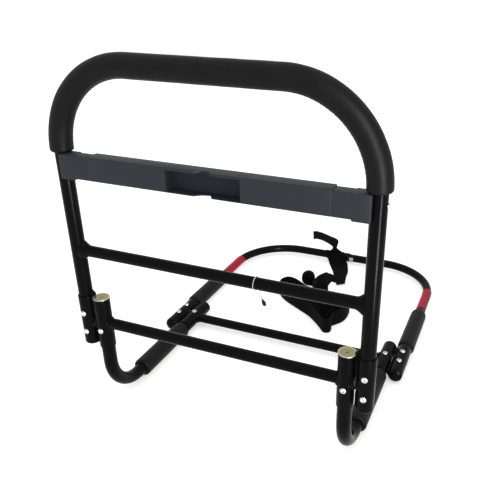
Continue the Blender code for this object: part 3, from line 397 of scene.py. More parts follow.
# Tag string and toggle
STRING_X = 76.0 * MM
STRING_RADIUS = 0.7 * MM
STRING_STRAND_RADIUS = 0.42 * MM
STRING_LAY = 4.5 * MM
STRING_STEP = 0.5 * MM
STRING_SIDES = 10
STRING_WRAP = 220.0
STRING_WRAP_STEPS = 24
TOGGLE_OFFSET = 11.0 * MM
TOGGLE_DROP = 27.0 * MM
TOGGLE_RADIUS = 3.0 * MM
TOGGLE_LENGTH = 11.0 * MM
TOGGLE_EDGE = 0.6 * MM
TOGGLE_FALL = Vector((0.45, 0, -1)).normalized()
TOGGLE_SEAT = CROSS_BAR + Vector((STRING_X + TOGGLE_OFFSET, 0, -TOGGLE_DROP))
# Outline of the toggle, as shares of its radius and length
TOGGLE_OUTLINE = ((0, 0), (0.72, 0), (0.72, 0.12), (0.6, 0.18), (0.62, 0.24), (1, 0.34), (1, 0.7),
                  (0.8, 0.9), (0.45, 1), (0, 1))

# Photograph's camera
CAMERA_PLACE = (428.7 * MM, -1120.8 * MM, 765.1 * MM)
CAMERA_TURN = (63.908, -0.158, 21.653)
CAMERA_LENS = 43.49
CAMERA_SENSOR = 36.0
CAMERA_SHIFT = (-0.082, 0.0204)

# Studio, in metres and degrees; the key light shines on the right leg
FLOOR_HALF = 4.0
FLOOR_SQUARES = 8
FLOOR_GLOW = 0.55
TOP_LIGHT_PLACE = (-0.2, 0.1, 2.3)
TOP_LIGHT_WIDTH = 1.8
KEY_AZIMUTH = 41.5
KEY_DISTANCE = 1.6
KEY_HEIGHT = 1.9
KEY_WIDTH = 0.2
GLOW_START = 0.66
GLOW_LENGTH = 0.9
GLOW_WIDTH = 0.17
GLOW_SHARE = 0.32


def linear(code):
    """Linear colour from an sRGB hex code."""
    shares = [int(code[start:start + 2], 16) / 255 for start in (0, 2, 4)]
    return [s / 12.92 if s <= 0.04045 else ((s + 0.055) / 1.055) ** 2.4 for s in shares]


def colour_property(name, code, description):
    return bpy.props.FloatVectorProperty(
        name=name, description=description, default=linear(code), subtype="COLOR", size=3,
        min=0.0, max=1.0
    )


def length_property(name, default, description):
    return bpy.props.FloatProperty(
        name=name, description=description, default=default, min=0.0, unit="LENGTH", precision=4
    )


class BedRailSizes(bpy.types.PropertyGroup):
    """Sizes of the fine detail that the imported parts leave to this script."""

    webbing_width: length_property("Webbing width", 38.0 * MM, "Width of the strap")
    webbing_thickness: length_property("Webbing thickness", 1.7 * MM, "Thickness between its ribs")
    weld_pitch: length_property("Weld pitch", 1.5 * MM, "Distance from one weld ripple to the next")
    weld_radius: length_property("Weld radius", 2.2 * MM, "Half the width of a tube's weld bead")
    hub_weld_radius: length_property("Hub weld radius", 1.1 * MM, "Half the width of a hub's bead")
    stitch_pitch: length_property("Stitch pitch", 3.4 * MM, "Distance from stitch to stitch")
    stitch_radius: length_property("Stitch radius", 0.45 * MM, "Half the thickness of the thread")
    foam_wrinkle: length_property("Foam wrinkle", 0.35 * MM, "Depth of the folds inside the bends")


class BedRailColours(bpy.types.PropertyGroup):
    """Colours of the finishes."""

    coat: colour_property("Powder coat", "111113", "Satin black on all tubes and sleeves")
    foam: colour_property("Foam", "212122", "Closed-cell foam of grip and sleeves")
    bar: colour_property("Light bar", "373A41", "Slate grey moulding")
    # Inside the light bar's pocket the slate grey is painted darker: painted shade in the recess.
    pocket: colour_property("Light pocket", "262B34", "Slate grey where no light reaches it")
    gold: colour_property("Post caps", "958B6A", "Yellow passivated plate in the dish")
    # The lighter rim colour is a painted highlight on the caps' raised rims.
    gold_rim: colour_property("Cap rims", "BDB8A6", "Yellow passivated plate where it is rubbed")
    zinc: colour_property("Fasteners", "C8C8C4", "Bright zinc plate")
    oxide: colour_property("Pivot bolts", "2A2A2C", "Black oxide on the pivot bolts")
    nylon: colour_property("Washers", "D8D4CA", "Natural nylon")
    tape: colour_property("Red tape", "B01A30", "Vinyl tape that marks the loop")
    # The tape's outer side is painted darker: painted shade.
    tape_dark: colour_property("Rubbed tape", "3A1014", "The tape's outer side, rubbed dark")
    webbing: colour_property("Webbing", "101011", "Black polyester yarn")
    thread: colour_property("Stitching", "2B2B2E", "Sewing thread")
    string: colour_property("Tag string", "F0F0EC", "Waxed cotton string")
    toggle: colour_property("Toggle", "161617", "Moulded black plastic")
    floor: colour_property("Floor", "F4F4F2", "Studio floor")


class BedRailStudio(bpy.types.PropertyGroup):
    """Strength of the studio's lights."""

    key_power: bpy.props.FloatProperty(
        name="Key light", description="Tall narrow light at the right front", default=110.0,
        min=0.0, unit="POWER")
    top_power: bpy.props.FloatProperty(
        name="Top light", description="Wide soft light overhead", default=2.5,
        min=0.0, unit="POWER")
    sky: bpy.props.FloatProperty(
        name="Room light", description="Even light from the white room", default=0.8,
        min=0.0, max=2.0, subtype="FACTOR")


def sizes():
    return bpy.context.scene.bed_rail_sizes


def colours():
    return bpy.context.scene.bed_rail_colours


def at(x, y, z):
    """Point given from the handle's plane and the height of the base tubes' centrelines."""
    return Vector((x, FRONT_AXLE.y + y, REAR_AXLE.z + z))


# Node trees

def add_node(tree, kind, values=None, links=None, **settings):
    """Add a node, set its properties and its inputs' values, and link sockets into it."""
    node = tree.nodes.new(kind)
    for name, value in settings.items():
        setattr(node, name, value)
    for key, value in (values or {}).items():
        node.inputs[key].default_value = value
    for key, socket in (links or {}).items():
        tree.links.new(socket, node.inputs[key])
    return node


def geometry_tree(**inputs):
    """Start a Geometry Nodes tree whose named inputs are given as (socket type, default)."""
    tree = bpy.data.node_groups.new("growth", "GeometryNodeTree")
    tree.interface.new_socket("Geometry", in_out="INPUT", socket_type="NodeSocketGeometry")
    for label, (kind, default) in inputs.items():
        socket = tree.interface.new_socket(label, in_out="INPUT", socket_type=kind)
        if default is not None:
            socket.default_value = default
    tree.interface.new_socket("Geometry", in_out="OUTPUT", socket_type="NodeSocketGeometry")
    return tree, tree.nodes.new("NodeGroupInput")


def end_tree(tree, geometry, finish):
    """Make the result real, give it its finish and send it out."""
    real = add_node(tree, "GeometryNodeRealizeInstances", links={"Geometry": geometry})
    smooth = add_node(tree, "GeometryNodeSetShadeSmooth", links={"Geometry": real.outputs[0]})
    painted = add_node(tree, "GeometryNodeSetMaterial",
                       links={"Geometry": smooth.outputs[0], "Material": finish})
    add_node(tree, "NodeGroupOutput", links={0: painted.outputs[0]})


def tube_along_path():
    """Round bar with closed ends along each chain of edges."""
    tree, source = geometry_tree(
        Radius=("NodeSocketFloat", LEG_RADIUS), Sides=("NodeSocketInt", TUBE_SIDES),
        Finish=("NodeSocketMaterial", None)
    )
    line = add_node(tree, "GeometryNodeMeshToCurve", links={"Mesh": source.outputs["Geometry"]})
    ring = add_node(tree, "GeometryNodeCurvePrimitiveCircle",
                    links={"Resolution": source.outputs["Sides"], "Radius": source.outputs["Radius"]})
    body = add_node(tree, "GeometryNodeCurveToMesh", {"Fill Caps": True},
                    {"Curve": line.outputs["Curve"], "Profile Curve": ring.outputs["Curve"]})
    end_tree(tree, body.outputs["Mesh"], source.outputs["Finish"])
    return tree


def beads_along_path():
    """Overlapping beads along each chain of edges: weld ripples, or stitches when stretched."""
    tree, source = geometry_tree(
        Pitch=("NodeSocketFloat", 1.5 * MM), Radius=("NodeSocketFloat", 2.0 * MM),
        Stretch=("NodeSocketFloat", 0.6), Unevenness=("NodeSocketFloat", 0.0),
        Seed=("NodeSocketInt", 7), Finish=("NodeSocketMaterial", None)
    )
    line = add_node(tree, "GeometryNodeMeshToCurve", links={"Mesh": source.outputs["Geometry"]})
    spaced = add_node(tree, "GeometryNodeResampleCurve", mode="LENGTH",
                      links={"Curve": line.outputs["Curve"], "Length": source.outputs["Pitch"]})
    ball = add_node(tree, "GeometryNodeMeshUVSphere", {"Segments": 10, "Rings": 6},
                    {"Radius": source.outputs["Radius"]})
    tangent = add_node(tree, "GeometryNodeInputTangent")
    turn = add_node(tree, "FunctionNodeAlignRotationToVector", axis="Z",
                    links={"Vector": tangent.outputs["Tangent"]})
    less, more = (
        add_node(tree, "ShaderNodeMath", {0: 1.0}, {1: source.outputs["Unevenness"]}, operation=kind)
        for kind in ("SUBTRACT", "ADD")
    )
    uneven = add_node(tree, "FunctionNodeRandomValue", data_type="FLOAT",
                      links={2: less.outputs[0], 3: more.outputs[0], "Seed": source.outputs["Seed"]})
    along = add_node(tree, "ShaderNodeMath", operation="MULTIPLY",
                     links={0: uneven.outputs[1], 1: source.outputs["Stretch"]})
    scale = add_node(tree, "ShaderNodeCombineXYZ",
                     links={"X": uneven.outputs[1], "Y": uneven.outputs[1], "Z": along.outputs[0]})
    beads = add_node(tree, "GeometryNodeInstanceOnPoints",
                     links={"Points": spaced.outputs["Curve"], "Instance": ball.outputs["Mesh"],
                            "Rotation": turn.outputs["Rotation"], "Scale": scale.outputs["Vector"]})
    end_tree(tree, beads.outputs["Instances"], source.outputs["Finish"])
    return tree


def fasteners_on_points():
    """One fastener on each point, its head turned to the point's "facing" attribute."""
    tree, source = geometry_tree(Fastener=("NodeSocketObject", None),
                                 Finish=("NodeSocketMaterial", None))
    shape = add_node(tree, "GeometryNodeObjectInfo", links={"Object": source.outputs["Fastener"]})
    facing = add_node(tree, "GeometryNodeInputNamedAttribute", {"Name": "facing"},
                      data_type="FLOAT_VECTOR")
    turn = add_node(tree, "FunctionNodeAlignRotationToVector", axis="Z",
                    links={"Vector": facing.outputs["Attribute"]})
    placed = add_node(tree, "GeometryNodeInstanceOnPoints",
                      links={"Points": source.outputs["Geometry"],
                             "Instance": shape.outputs["Geometry"],
                             "Rotation": turn.outputs["Rotation"]})
    end_tree(tree, placed.outputs["Instances"], source.outputs["Finish"])
    return tree


def shared_tree(build):
    """A function's node tree, built once and then found by the function's name."""
    name = build.__name__
    if name not in bpy.data.node_groups:
        build().name = name
    return bpy.data.node_groups[name]


def grown(mesh, build, **values):
    """Run a node tree over a guide mesh and return the plain mesh that it makes."""
    tree = shared_tree(build)
    guide = new_object("guide", mesh)
    modifier = guide.modifiers.new("growth", "NODES")
    modifier.node_group = tree
    for item in tree.interface.items_tree:
        if item.in_out == "INPUT" and item.name in values:
            modifier[item.identifier] = values[item.name]
    result = evaluated(guide)
    bpy.data.objects.remove(guide, do_unlink=True)
    return result


# Mesh tools

def new_object(name, data):
    """Object in the scene's collection."""
    obj = bpy.data.objects.new(name, data)
    bpy.context.scene.collection.objects.link(obj)
    return obj


def evaluated(obj):
    depsgraph = bpy.context.evaluated_depsgraph_get()
    return bpy.data.meshes.new_from_object(obj.evaluated_get(depsgraph))


def to_mesh(bm, name="shape"):
    """Turn a bmesh's faces outwards and make a mesh of it."""
    bmesh.ops.recalc_face_normals(bm, faces=bm.faces)
    if bm.calc_volume(signed=True) < 0:
        bmesh.ops.reverse_faces(bm, faces=bm.faces)
    mesh = bpy.data.meshes.new(name)
    bm.to_mesh(mesh)
    bm.free()
    return mesh


def finish_of(name):
    material = bpy.data.materials.get(name)
    if material is None:
        raise RuntimeError(f"the finish {name} hasn't been made")
    return material


def publish(name, mesh, body, slot, nodes=(), crease=32.0):
    """Check that a mesh is closed, then make it a piece that rides on a body of the frame."""
    bm = bmesh.new()
    bm.from_mesh(mesh)
    open_edges = sum(not edge.is_manifold for edge in bm.edges)
    inside_out = bm.calc_volume(signed=True) <= 0
    bm.free()
    if open_edges or inside_out:
        raise RuntimeError(f"{name}: {open_edges} open edges, inside out: {inside_out}")
    mesh.name = name
    if not any(mesh.materials):
        mesh.materials.clear()
        mesh.materials.append(finish_of(FINISHES[slot]))
    mesh.shade_smooth()
    mesh.set_sharp_from_angle(angle=math.radians(crease))
    obj = new_object(name, mesh)
    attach(obj, body)
    if nodes:
        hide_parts(*nodes)
    return obj


def combined(mesh, tools, operation):
    """Apply exact Booleans with other meshes, one after the other, and merge slivers each time."""
    for tool in tools:
        obj, cutter = new_object("shape", mesh), new_object("tool", tool)
        modifier = obj.modifiers.new("join", "BOOLEAN")
        modifier.operation = operation
        modifier.solver = "EXACT"
        modifier.object = cutter
        bm = bmesh.new()
        bm.from_mesh(evaluated(obj))
        for item in (obj, cutter):
            bpy.data.objects.remove(item, do_unlink=True)
        bmesh.ops.remove_doubles(bm, verts=bm.verts, dist=SLIVER_WIDTH)
        bmesh.ops.dissolve_degenerate(bm, edges=bm.edges, dist=SLIVER_WIDTH)
        mesh = to_mesh(bm)
    return mesh


def bevelled(mesh, width, angle=35.0, segments=2):
    """Round the sharp edges of a mesh with a Bevel modifier."""
    obj = new_object("shape", mesh)
    modifier = obj.modifiers.new("edges", "BEVEL")
    modifier.width = width
    modifier.segments = segments
    modifier.limit_method = "ANGLE"
    modifier.angle_limit = math.radians(angle)
    modifier.use_clamp_overlap = True
    result = evaluated(obj)
    bpy.data.objects.remove(obj, do_unlink=True)
    return result


def softened(points, reach, steps=4):
    """Round the inner corners of an outline; reach is how far a rounding runs along its sides."""
    soft = [Vector(points[0])]
    for before, corner, after in zip(points, points[1:], points[2:]):
        before, corner, after = Vector(before), Vector(corner), Vector(after)
        back = before - corner
        ahead = after - corner
        start = corner + back.normalized() * min(reach, back.length * 0.45)
        end = corner + ahead.normalized() * min(reach, ahead.length * 0.45)
        for step in range(steps + 1):
            share = step / steps
            soft.append(start.lerp(corner, share).lerp(corner.lerp(end, share), share))
    soft.append(Vector(points[-1]))
    return soft


def aim(start, direction):
    """Matrix that stands the local Z axis on start, along direction."""
    turn = Vector(direction).to_track_quat("Z", "Y").to_matrix().to_4x4()
    return Matrix.Translation(start) @ turn


def lathe(profile, place=Matrix.Identity(4), count=FINE_SIDES):
    """Closed mesh turned round the local Z axis from (radius, height) points."""
    bm = bmesh.new()
    verts = [bm.verts.new((radius, 0, height)) for radius, height in profile]
    edges = [bm.edges.new(pair) for pair in zip(verts, verts[1:])]
    if profile[0][0] > 0:
        edges.append(bm.edges.new((verts[-1], verts[0])))
    bmesh.ops.spin(
        bm, geom=verts + edges, axis=(0, 0, 1), cent=(0, 0, 0), angle=math.tau, steps=count
    )
    bmesh.ops.remove_doubles(bm, verts=bm.verts, dist=POLE_WIDTH)
    bm.transform(place @ Matrix.Rotation(LATHE_START, 4, "Z"))
    return to_mesh(bm)


def rod(radius, start, end, count=TUBE_SIDES, edge=0.0):
    """Round bar between two points, with rounded ends if edge is given."""
    start, end = Vector(start), Vector(end)
    length = (end - start).length
    outline = [(0, 0), (radius, 0), (radius, length), (0, length)]
    if edge:
        outline = softened(outline, edge)
    return lathe(outline, aim(start, end - start), count)


def block(low, high, edge=0.0, segments=3):
    """Box between two corners, with rounded edges if edge is given."""
    low, high = Vector(low), Vector(high)
    bm = bmesh.new()
    bmesh.ops.create_cube(bm, size=1.0)
    size = Matrix.Diagonal((*(high - low), 1.0))
    bmesh.ops.transform(bm, matrix=Matrix.Translation((low + high) / 2) @ size, verts=bm.verts)
    if edge:
        bmesh.ops.bevel(
            bm, geom=bm.edges, offset=edge, segments=segments, profile=0.5, affect="EDGES",
            clamp_overlap=True
        )
    return to_mesh(bm)


def prism(outline, direction):
    """Extrude a flat closed outline of points along direction."""
    bm = bmesh.new()
    face = bm.faces.new([bm.verts.new(point) for point in outline])
    raised = bmesh.ops.extrude_face_region(bm, geom=[face])
    moved = [item for item in raised["geom"] if isinstance(item, bmesh.types.BMVert)]
    bmesh.ops.translate(bm, vec=direction, verts=moved)
    return to_mesh(bm)


def chains(paths, closed=False):
    """Guide mesh of edges, one chain for each path."""
    bm = bmesh.new()
    for path in paths:
        verts = [bm.verts.new(point) for point in path]
        for pair in zip(verts, verts[1:]):
            bm.edges.new(pair)
        if closed:
            bm.edges.new((verts[-1], verts[0]))
    mesh = bpy.data.meshes.new("guide")
    bm.to_mesh(mesh)
    bm.free()
    return mesh


def round_ring(centre, first, second, radius, count):
    """Ring of points round a centre, from the first direction towards the second."""
    angles = (math.tau * index / count for index in range(count))
    return [centre + (first * math.cos(angle) + second * math.sin(angle)) * radius
            for angle in angles]


def loft(rings, along, ring_closed=False):
    """Bridge rings of points into one closed mesh; UV holds metres along and round the rings."""
    bm = bmesh.new()
    layer = bm.loops.layers.uv.new("UVMap")
    rows = [[bm.verts.new(point) for point in ring] for ring in rings]
    count = len(rings[0])
    widest = max(rings, key=lambda ring: (Vector(ring[0]) - Vector(ring[count // 2])).length)
    around = [0.0]
    for index in range(count):
        step = Vector(widest[(index + 1) % count]) - Vector(widest[index])
        around.append(around[-1] + step.length)
    pairs = list(zip(range(len(rows)), range(1, len(rows))))
    if ring_closed:
        pairs.append((len(rows) - 1, 0))
    for first, second in pairs:
        for index in range(count):
            after = (index + 1) % count
            face = bm.faces.new((rows[first][index], rows[first][after],
                                 rows[second][after], rows[second][index]))
            corners = ((first, index), (first, index + 1), (second, index + 1), (second, index))
            for loop, (row, column) in zip(face.loops, corners):
                loop[layer].uv = (along[row], around[column])
    if not ring_closed:
        bm.faces.new(rows[0][::-1])
        bm.faces.new(rows[-1])
    return to_mesh(bm)


def joined(meshes):
    """One mesh that holds several separate closed ones."""
    bm = bmesh.new()
    for mesh in meshes:
        bm.from_mesh(mesh)
    return to_mesh(bm)


# Paths

def arc_path(corners, radius, steps=BEND_STEPS):
    """Path through square corners, each turned by an arc of the given radius."""
    path = [corners[0]]
    for before, corner, after in zip(corners, corners[1:], corners[2:]):
        arrive = (corner - before).normalized()
        leave = (after - corner).normalized()
        centre = corner + (leave - arrive) * radius
        for step in range(steps + 1):
            angle = math.pi / 2 * step / steps
            path.append(centre + (arrive * math.sin(angle) - leave * math.cos(angle)) * radius)
    path.append(corners[-1])
    return path


def path_length(path):
    return sum((after - before).length for before, after in zip(path, path[1:]))


def on_path(path, distance):
    """Point and direction at a distance along a path."""
    passed = 0.0
    for before, after in zip(path, path[1:]):
        step = (after - before).length
        if step and distance <= passed + step:
            return before.lerp(after, (distance - passed) / step), (after - before) / step
        passed += step
    return path[-1].copy(), (path[-1] - path[-2]).normalized()


def smooth_direction(path, distance, reach=4 * MM):
    """Direction of a path, taken over a short stretch on both sides of a place."""
    ahead, _ = on_path(path, min(path_length(path), distance + reach))
    behind, _ = on_path(path, max(0.0, distance - reach))
    return (ahead - behind).normalized()


def turn_at(path, distance, reach=8 * MM):
    """How sharply a path turns at a place, as a vector to the inside of the bend."""
    after = smooth_direction(path, min(path_length(path), distance + reach))
    before = smooth_direction(path, max(0.0, distance - reach))
    return (after - before) / (2 * reach)


def eased(share):
    """Smooth step from 0 to 1."""
    share = min(1.0, max(0.0, share))
    return share * share * (3 - 2 * share)


# Finishes

def blank_finish(name, colour, roughness, metallic=0.0, gloss=0.5):
    """New material with a Principled shader; returns its tree, shader and object coordinates."""
    material = bpy.data.materials.new(name)
    material.use_nodes = True
    tree = material.node_tree
    shader = tree.nodes["Principled BSDF"]
    shader.inputs["Base Color"].default_value = (*colour, 1.0)
    shader.inputs["Roughness"].default_value = roughness
    shader.inputs["Metallic"].default_value = metallic
    shader.inputs["Specular IOR Level"].default_value = gloss
    place = add_node(tree, "ShaderNodeTexCoord").outputs["Object"]
    return tree, shader, place


def tint(colour, share):
    """A colour made lighter (share over 1) or darker."""
    return (*[min(1.0, channel * share) for channel in colour], 1.0)


def mottle(tree, shader, place, size, colour, spread, low_rough, high_rough):
    """Vary colour and roughness slowly over the surface; size is that of the patches."""
    patches = add_node(tree, "ShaderNodeTexNoise", {"Scale": 1 / size, "Detail": 3.0},
                       {"Vector": place})
    shades = add_node(tree, "ShaderNodeMix", {"A": tint(colour, 1 - spread),
                                             "B": tint(colour, 1 + spread)}, data_type="RGBA")
    tree.links.new(patches.outputs["Fac"], shades.inputs["Factor"])
    tree.links.new(shades.outputs["Result"], shader.inputs["Base Color"])
    rough = add_node(tree, "ShaderNodeMapRange",
                     {"From Min": 0.3, "From Max": 0.7, "To Min": low_rough, "To Max": high_rough},
                     {"Value": patches.outputs["Fac"]})
    tree.links.new(rough.outputs["Result"], shader.inputs["Roughness"])
    return patches


def relief(tree, shader, heights):
    """Chain bumps; heights are (socket, depth in metres), coarse ones first."""
    normal = None
    for height, depth in heights:
        bump = add_node(tree, "ShaderNodeBump", {"Distance": depth}, {"Height": height})
        if normal is not None:
            tree.links.new(normal, bump.inputs["Normal"])
        normal = bump.outputs["Normal"]
    tree.links.new(normal, shader.inputs["Normal"])


def cover_where(tree, shader, attribute, colour):
    """Let another colour cover the base colour as far as a point attribute of the mesh says."""
    share = add_node(tree, "ShaderNodeAttribute", attribute_name=attribute)
    below = shader.inputs["Base Color"].links[0].from_socket
    layer = add_node(tree, "ShaderNodeMix", {"B": (*colour, 1.0)},
                     {"Factor": share.outputs["Fac"], "A": below}, data_type="RGBA")
    tree.links.new(layer.outputs["Result"], shader.inputs["Base Color"])


def mark_points(mesh, attribute, value):
    """Store value(place) of every vertex as a point attribute."""
    marks = mesh.attributes.new(attribute, "FLOAT", "POINT")
    for mark, vertex in zip(marks.data, mesh.vertices):
        mark.value = value(vertex.co)


def powder_coat():
    """Polyester powder coat, baked: satin black with the faint orange peel of melted grains."""
    colour = colours().coat
    tree, shader, place = blank_finish("satin_powder_coat", colour, 0.22, gloss=0.04)
    mottle(tree, shader, place, 45 * MM, colour, 0.12, 0.18, 0.26)
    # Real orange peel is about 1 mm across; 2.5 mm is the finest that a render of the whole shows.
    peel = add_node(tree, "ShaderNodeTexNoise", {"Scale": 1 / (2.5 * MM), "Detail": 1.0},
                    {"Vector": place})
    grit = add_node(tree, "ShaderNodeTexNoise", {"Scale": 1 / (0.5 * MM), "Detail": 2.0},
                    {"Vector": place})
    relief(tree, shader, [(peel.outputs["Fac"], 0.03 * MM), (grit.outputs["Fac"], 0.006 * MM)])


def closed_cell_foam():
    """Closed-cell rubber foam, extruded: dull black skin with fine pores and soft swells."""
    colour = colours().foam
    tree, shader, place = blank_finish("closed_cell_foam", colour, 0.62, gloss=0.05)
    mottle(tree, shader, place, 30 * MM, colour, 0.14, 0.4, 0.5)
    swells = add_node(tree, "ShaderNodeTexNoise", {"Scale": 1 / (9 * MM), "Detail": 2.0},
                      {"Vector": place})
    # The cells are about 0.4 mm across and are drawn at 1.2 mm, so that they show.
    cells = add_node(tree, "ShaderNodeTexVoronoi", {"Scale": 1 / (1.2 * MM)}, {"Vector": place})
    relief(tree, shader, [(swells.outputs["Fac"], 0.25 * MM), (cells.outputs["Distance"], 0.06 * MM)])


def textured_moulding():
    """ABS, injection moulded in a spark-eroded tool: slate grey with a fine dull grain."""
    colour = colours().bar
    tree, shader, place = blank_finish("textured_moulding", colour, 0.5, gloss=0.12)
    mottle(tree, shader, place, 60 * MM, colour, 0.05, 0.46, 0.56)
    # The pocket is painted darker where its walls shade it: painted shade.
    cover_where(tree, shader, "hollow", colours().pocket)
    # The tool's grain is about 0.2 mm and is drawn at 0.7 mm, so that it shows.
    grain = add_node(tree, "ShaderNodeTexVoronoi", {"Scale": 1 / (0.7 * MM)}, {"Vector": place})
    relief(tree, shader, [(grain.outputs["Distance"], 0.03 * MM)])


def plated_metal(name, colour, roughness, patch):
    """Bright plate on steel: metal with faint clouds from the passivating bath."""
    tree, shader, place = blank_finish(name, colour, roughness, metallic=1.0)
    mottle(tree, shader, place, patch, colour, 0.08, roughness - 0.06, roughness + 0.08)
    drag = add_node(tree, "ShaderNodeTexNoise", {"Scale": 1 / (0.4 * MM), "Detail": 2.0},
                    {"Vector": place})
    relief(tree, shader, [(drag.outputs["Fac"], 0.008 * MM)])


def passivated_cap():
    """Yellow passivated plate on a stamped cap: dull in the dish, with a painted highlight on the rim
    and painted shade in the slot and under the cap.
    """
    shades = colours()
    tree, shader, place = blank_finish("yellow_passivated_plate", shades.gold, 0.36, metallic=1.0)
    clouds = mottle(tree, shader, place, 9 * MM, shades.gold, 0.1, 0.3, 0.42)
    # Painted highlight: the rim is coloured lighter.
    cover_where(tree, shader, "polish", shades.gold_rim)
    # Painted shade: the slot's floor and the cap's underside take the coat's black.
    cover_where(tree, shader, "dirt", shades.coat)
    relief(tree, shader, [(clouds.outputs["Fac"], 0.05 * MM)])


def plain_moulding(name, colour, roughness, gloss=0.4):
    """Small moulding, such as nylon or polypropylene: even colour with a faint mould texture."""
    tree, shader, place = blank_finish(name, colour, roughness, gloss=gloss)
    mottle(tree, shader, place, 6 * MM, colour, 0.04, roughness - 0.05, roughness + 0.05)
    skin = add_node(tree, "ShaderNodeTexNoise", {"Scale": 1 / (0.6 * MM)}, {"Vector": place})
    relief(tree, shader, [(skin.outputs["Fac"], 0.01 * MM)])


def vinyl_tape():
    """Soft vinyl tape, calendered: glossy red that is drawn into small wrinkles on the bend."""
    colour = colours().tape
    tree, shader, place = blank_finish("red_vinyl_tape", colour, 0.34, gloss=0.1)
    mottle(tree, shader, place, 18 * MM, colour, 0.1, 0.28, 0.42)
    # Painted shade: the tape's outer side is darkened.
    cover_where(tree, shader, "rubbed", colours().tape_dark)
    wrinkles = add_node(tree, "ShaderNodeTexNoise", {"Scale": 1 / (5 * MM), "Detail": 2.0,
                                                    "Distortion": 0.6}, {"Vector": place})
    relief(tree, shader, [(wrinkles.outputs["Fac"], 0.15 * MM)])


def woven_webbing():
    """Polyester webbing, woven: ribs of yarn whose stitches step sideways from rib to rib."""
    colour = colours().webbing
    tree, shader, _ = blank_finish("woven_webbing", colour, 0.82, gloss=0.03)
    shader.inputs["Sheen Weight"].default_value = 0.01
    shader.inputs["Sheen Roughness"].default_value = 0.45
    uv = add_node(tree, "ShaderNodeUVMap", uv_map="UVMap").outputs["UV"]
    # The yarns step every 0.8 mm and are drawn at 2.4 mm, so that the weave shows.
    yarn = add_node(
        tree, "ShaderNodeTexBrick",
        {"Color1": tint(colour, 1.5), "Color2": tint(colour, 0.9), "Mortar": tint(colour, 0.35),
         "Scale": 1.0, "Mortar Size": 0.35 * MM, "Mortar Smooth": 0.9, "Brick Width": 4.8 * MM,
         "Row Height": 1.75 * MM, "Bias": 0.0},
        {"Vector": uv}, offset=0.5, offset_frequency=2
    )
    tree.links.new(yarn.outputs["Color"], shader.inputs["Base Color"])
    raised = add_node(tree, "ShaderNodeMath", {0: 1.0}, {1: yarn.outputs["Fac"]},
                      operation="SUBTRACT")
    fibres = add_node(tree, "ShaderNodeTexNoise", {"Scale": 1 / (0.5 * MM), "Detail": 3.0},
                      {"Vector": uv})
    relief(tree, shader, [(raised.outputs[0], 0.22 * MM), (fibres.outputs["Fac"], 0.05 * MM)])


def twisted_string():
    """Waxed cotton, twisted: dull white strands with short fibres along them."""
    colour = colours().string
    tree, shader, place = blank_finish("waxed_cotton_string", colour, 0.75)
    mottle(tree, shader, place, 2 * MM, colour, 0.08, 0.65, 0.85)
    fibres = add_node(tree, "ShaderNodeTexNoise", {"Scale": 1 / (0.25 * MM), "Detail": 3.0},
                      {"Vector": place})
    relief(tree, shader, [(fibres.outputs["Fac"], 0.06 * MM)])


class BEDRAIL_OT_finishes(bpy.types.Operator):
    """Make every material of the bed rail"""

    bl_idname = "bed_rail.finishes"
    bl_label = "Finishes"

    def execute(self, context):
        shades = colours()
        powder_coat()
        closed_cell_foam()
        textured_moulding()
        plated_metal("zinc_plate", shades.zinc, 0.3, 4 * MM)
        passivated_cap()
        plated_metal("black_oxide_steel", shades.oxide, 0.45, 5 * MM)
        plain_moulding("natural_nylon", shades.nylon, 0.5)
        plain_moulding("black_moulding", shades.toggle, 0.5, gloss=0.06)
        vinyl_tape()
        woven_webbing()
        plain_moulding("sewing_thread", shades.thread, 0.7, gloss=0.1)
        twisted_string()
        return {"FINISHED"}


# Tubes

def place_tube(name, path, radius, body, nodes):
    mesh = grown(chains([path]), tube_along_path, Radius=radius, Sides=TUBE_SIDES,
                 Finish=finish_of("satin_powder_coat"))
    publish(name, mesh, body, "coated_steel", nodes)


def hoop_path(foot):
    """Centreline of the hoop handle, from a height on one leg to the same on the other."""
    reach = HANDLE_HALF_WIDTH
    corners = [at(-reach, 0, foot), at(-reach, 0, HOOP_HEIGHT), at(reach, 0, HOOP_HEIGHT),
               at(reach, 0, foot)]
    return arc_path(corners, HOOP_BEND)


def loop_path():
    start = AXLE_RUN - REAR_DOME_REACH + DOME_HEIGHT + GAP
    reach = HANDLE_HALF_WIDTH
    corners = [at(-reach, start, 0), at(-reach, LOOP_REACH, 0), at(reach, LOOP_REACH, 0),
               at(reach, start, 0)]
    return arc_path(corners, LOOP_BEND)


def runner_path(side):
    x = side * BASE_HALF_WIDTH
    top = AXLE_HEIGHT + POST_SLEEVE_REACH - GAP
    end = AXLE_RUN + REAR_DOME_REACH - DOME_HEIGHT - GAP
    return arc_path([at(x, 0, top), at(x, 0, 0), at(x, end, 0)], RUNNER_BEND)


def cross_path(centre, half_width, radius):
    """Straight tube whose ends stop inside the round parts that it is welded to."""
    reach = half_width - math.sqrt(radius ** 2 - CROSS_RADIUS ** 2) + WELD_SINK
    return [centre - Vector((reach, 0, 0)), centre + Vector((reach, 0, 0))]


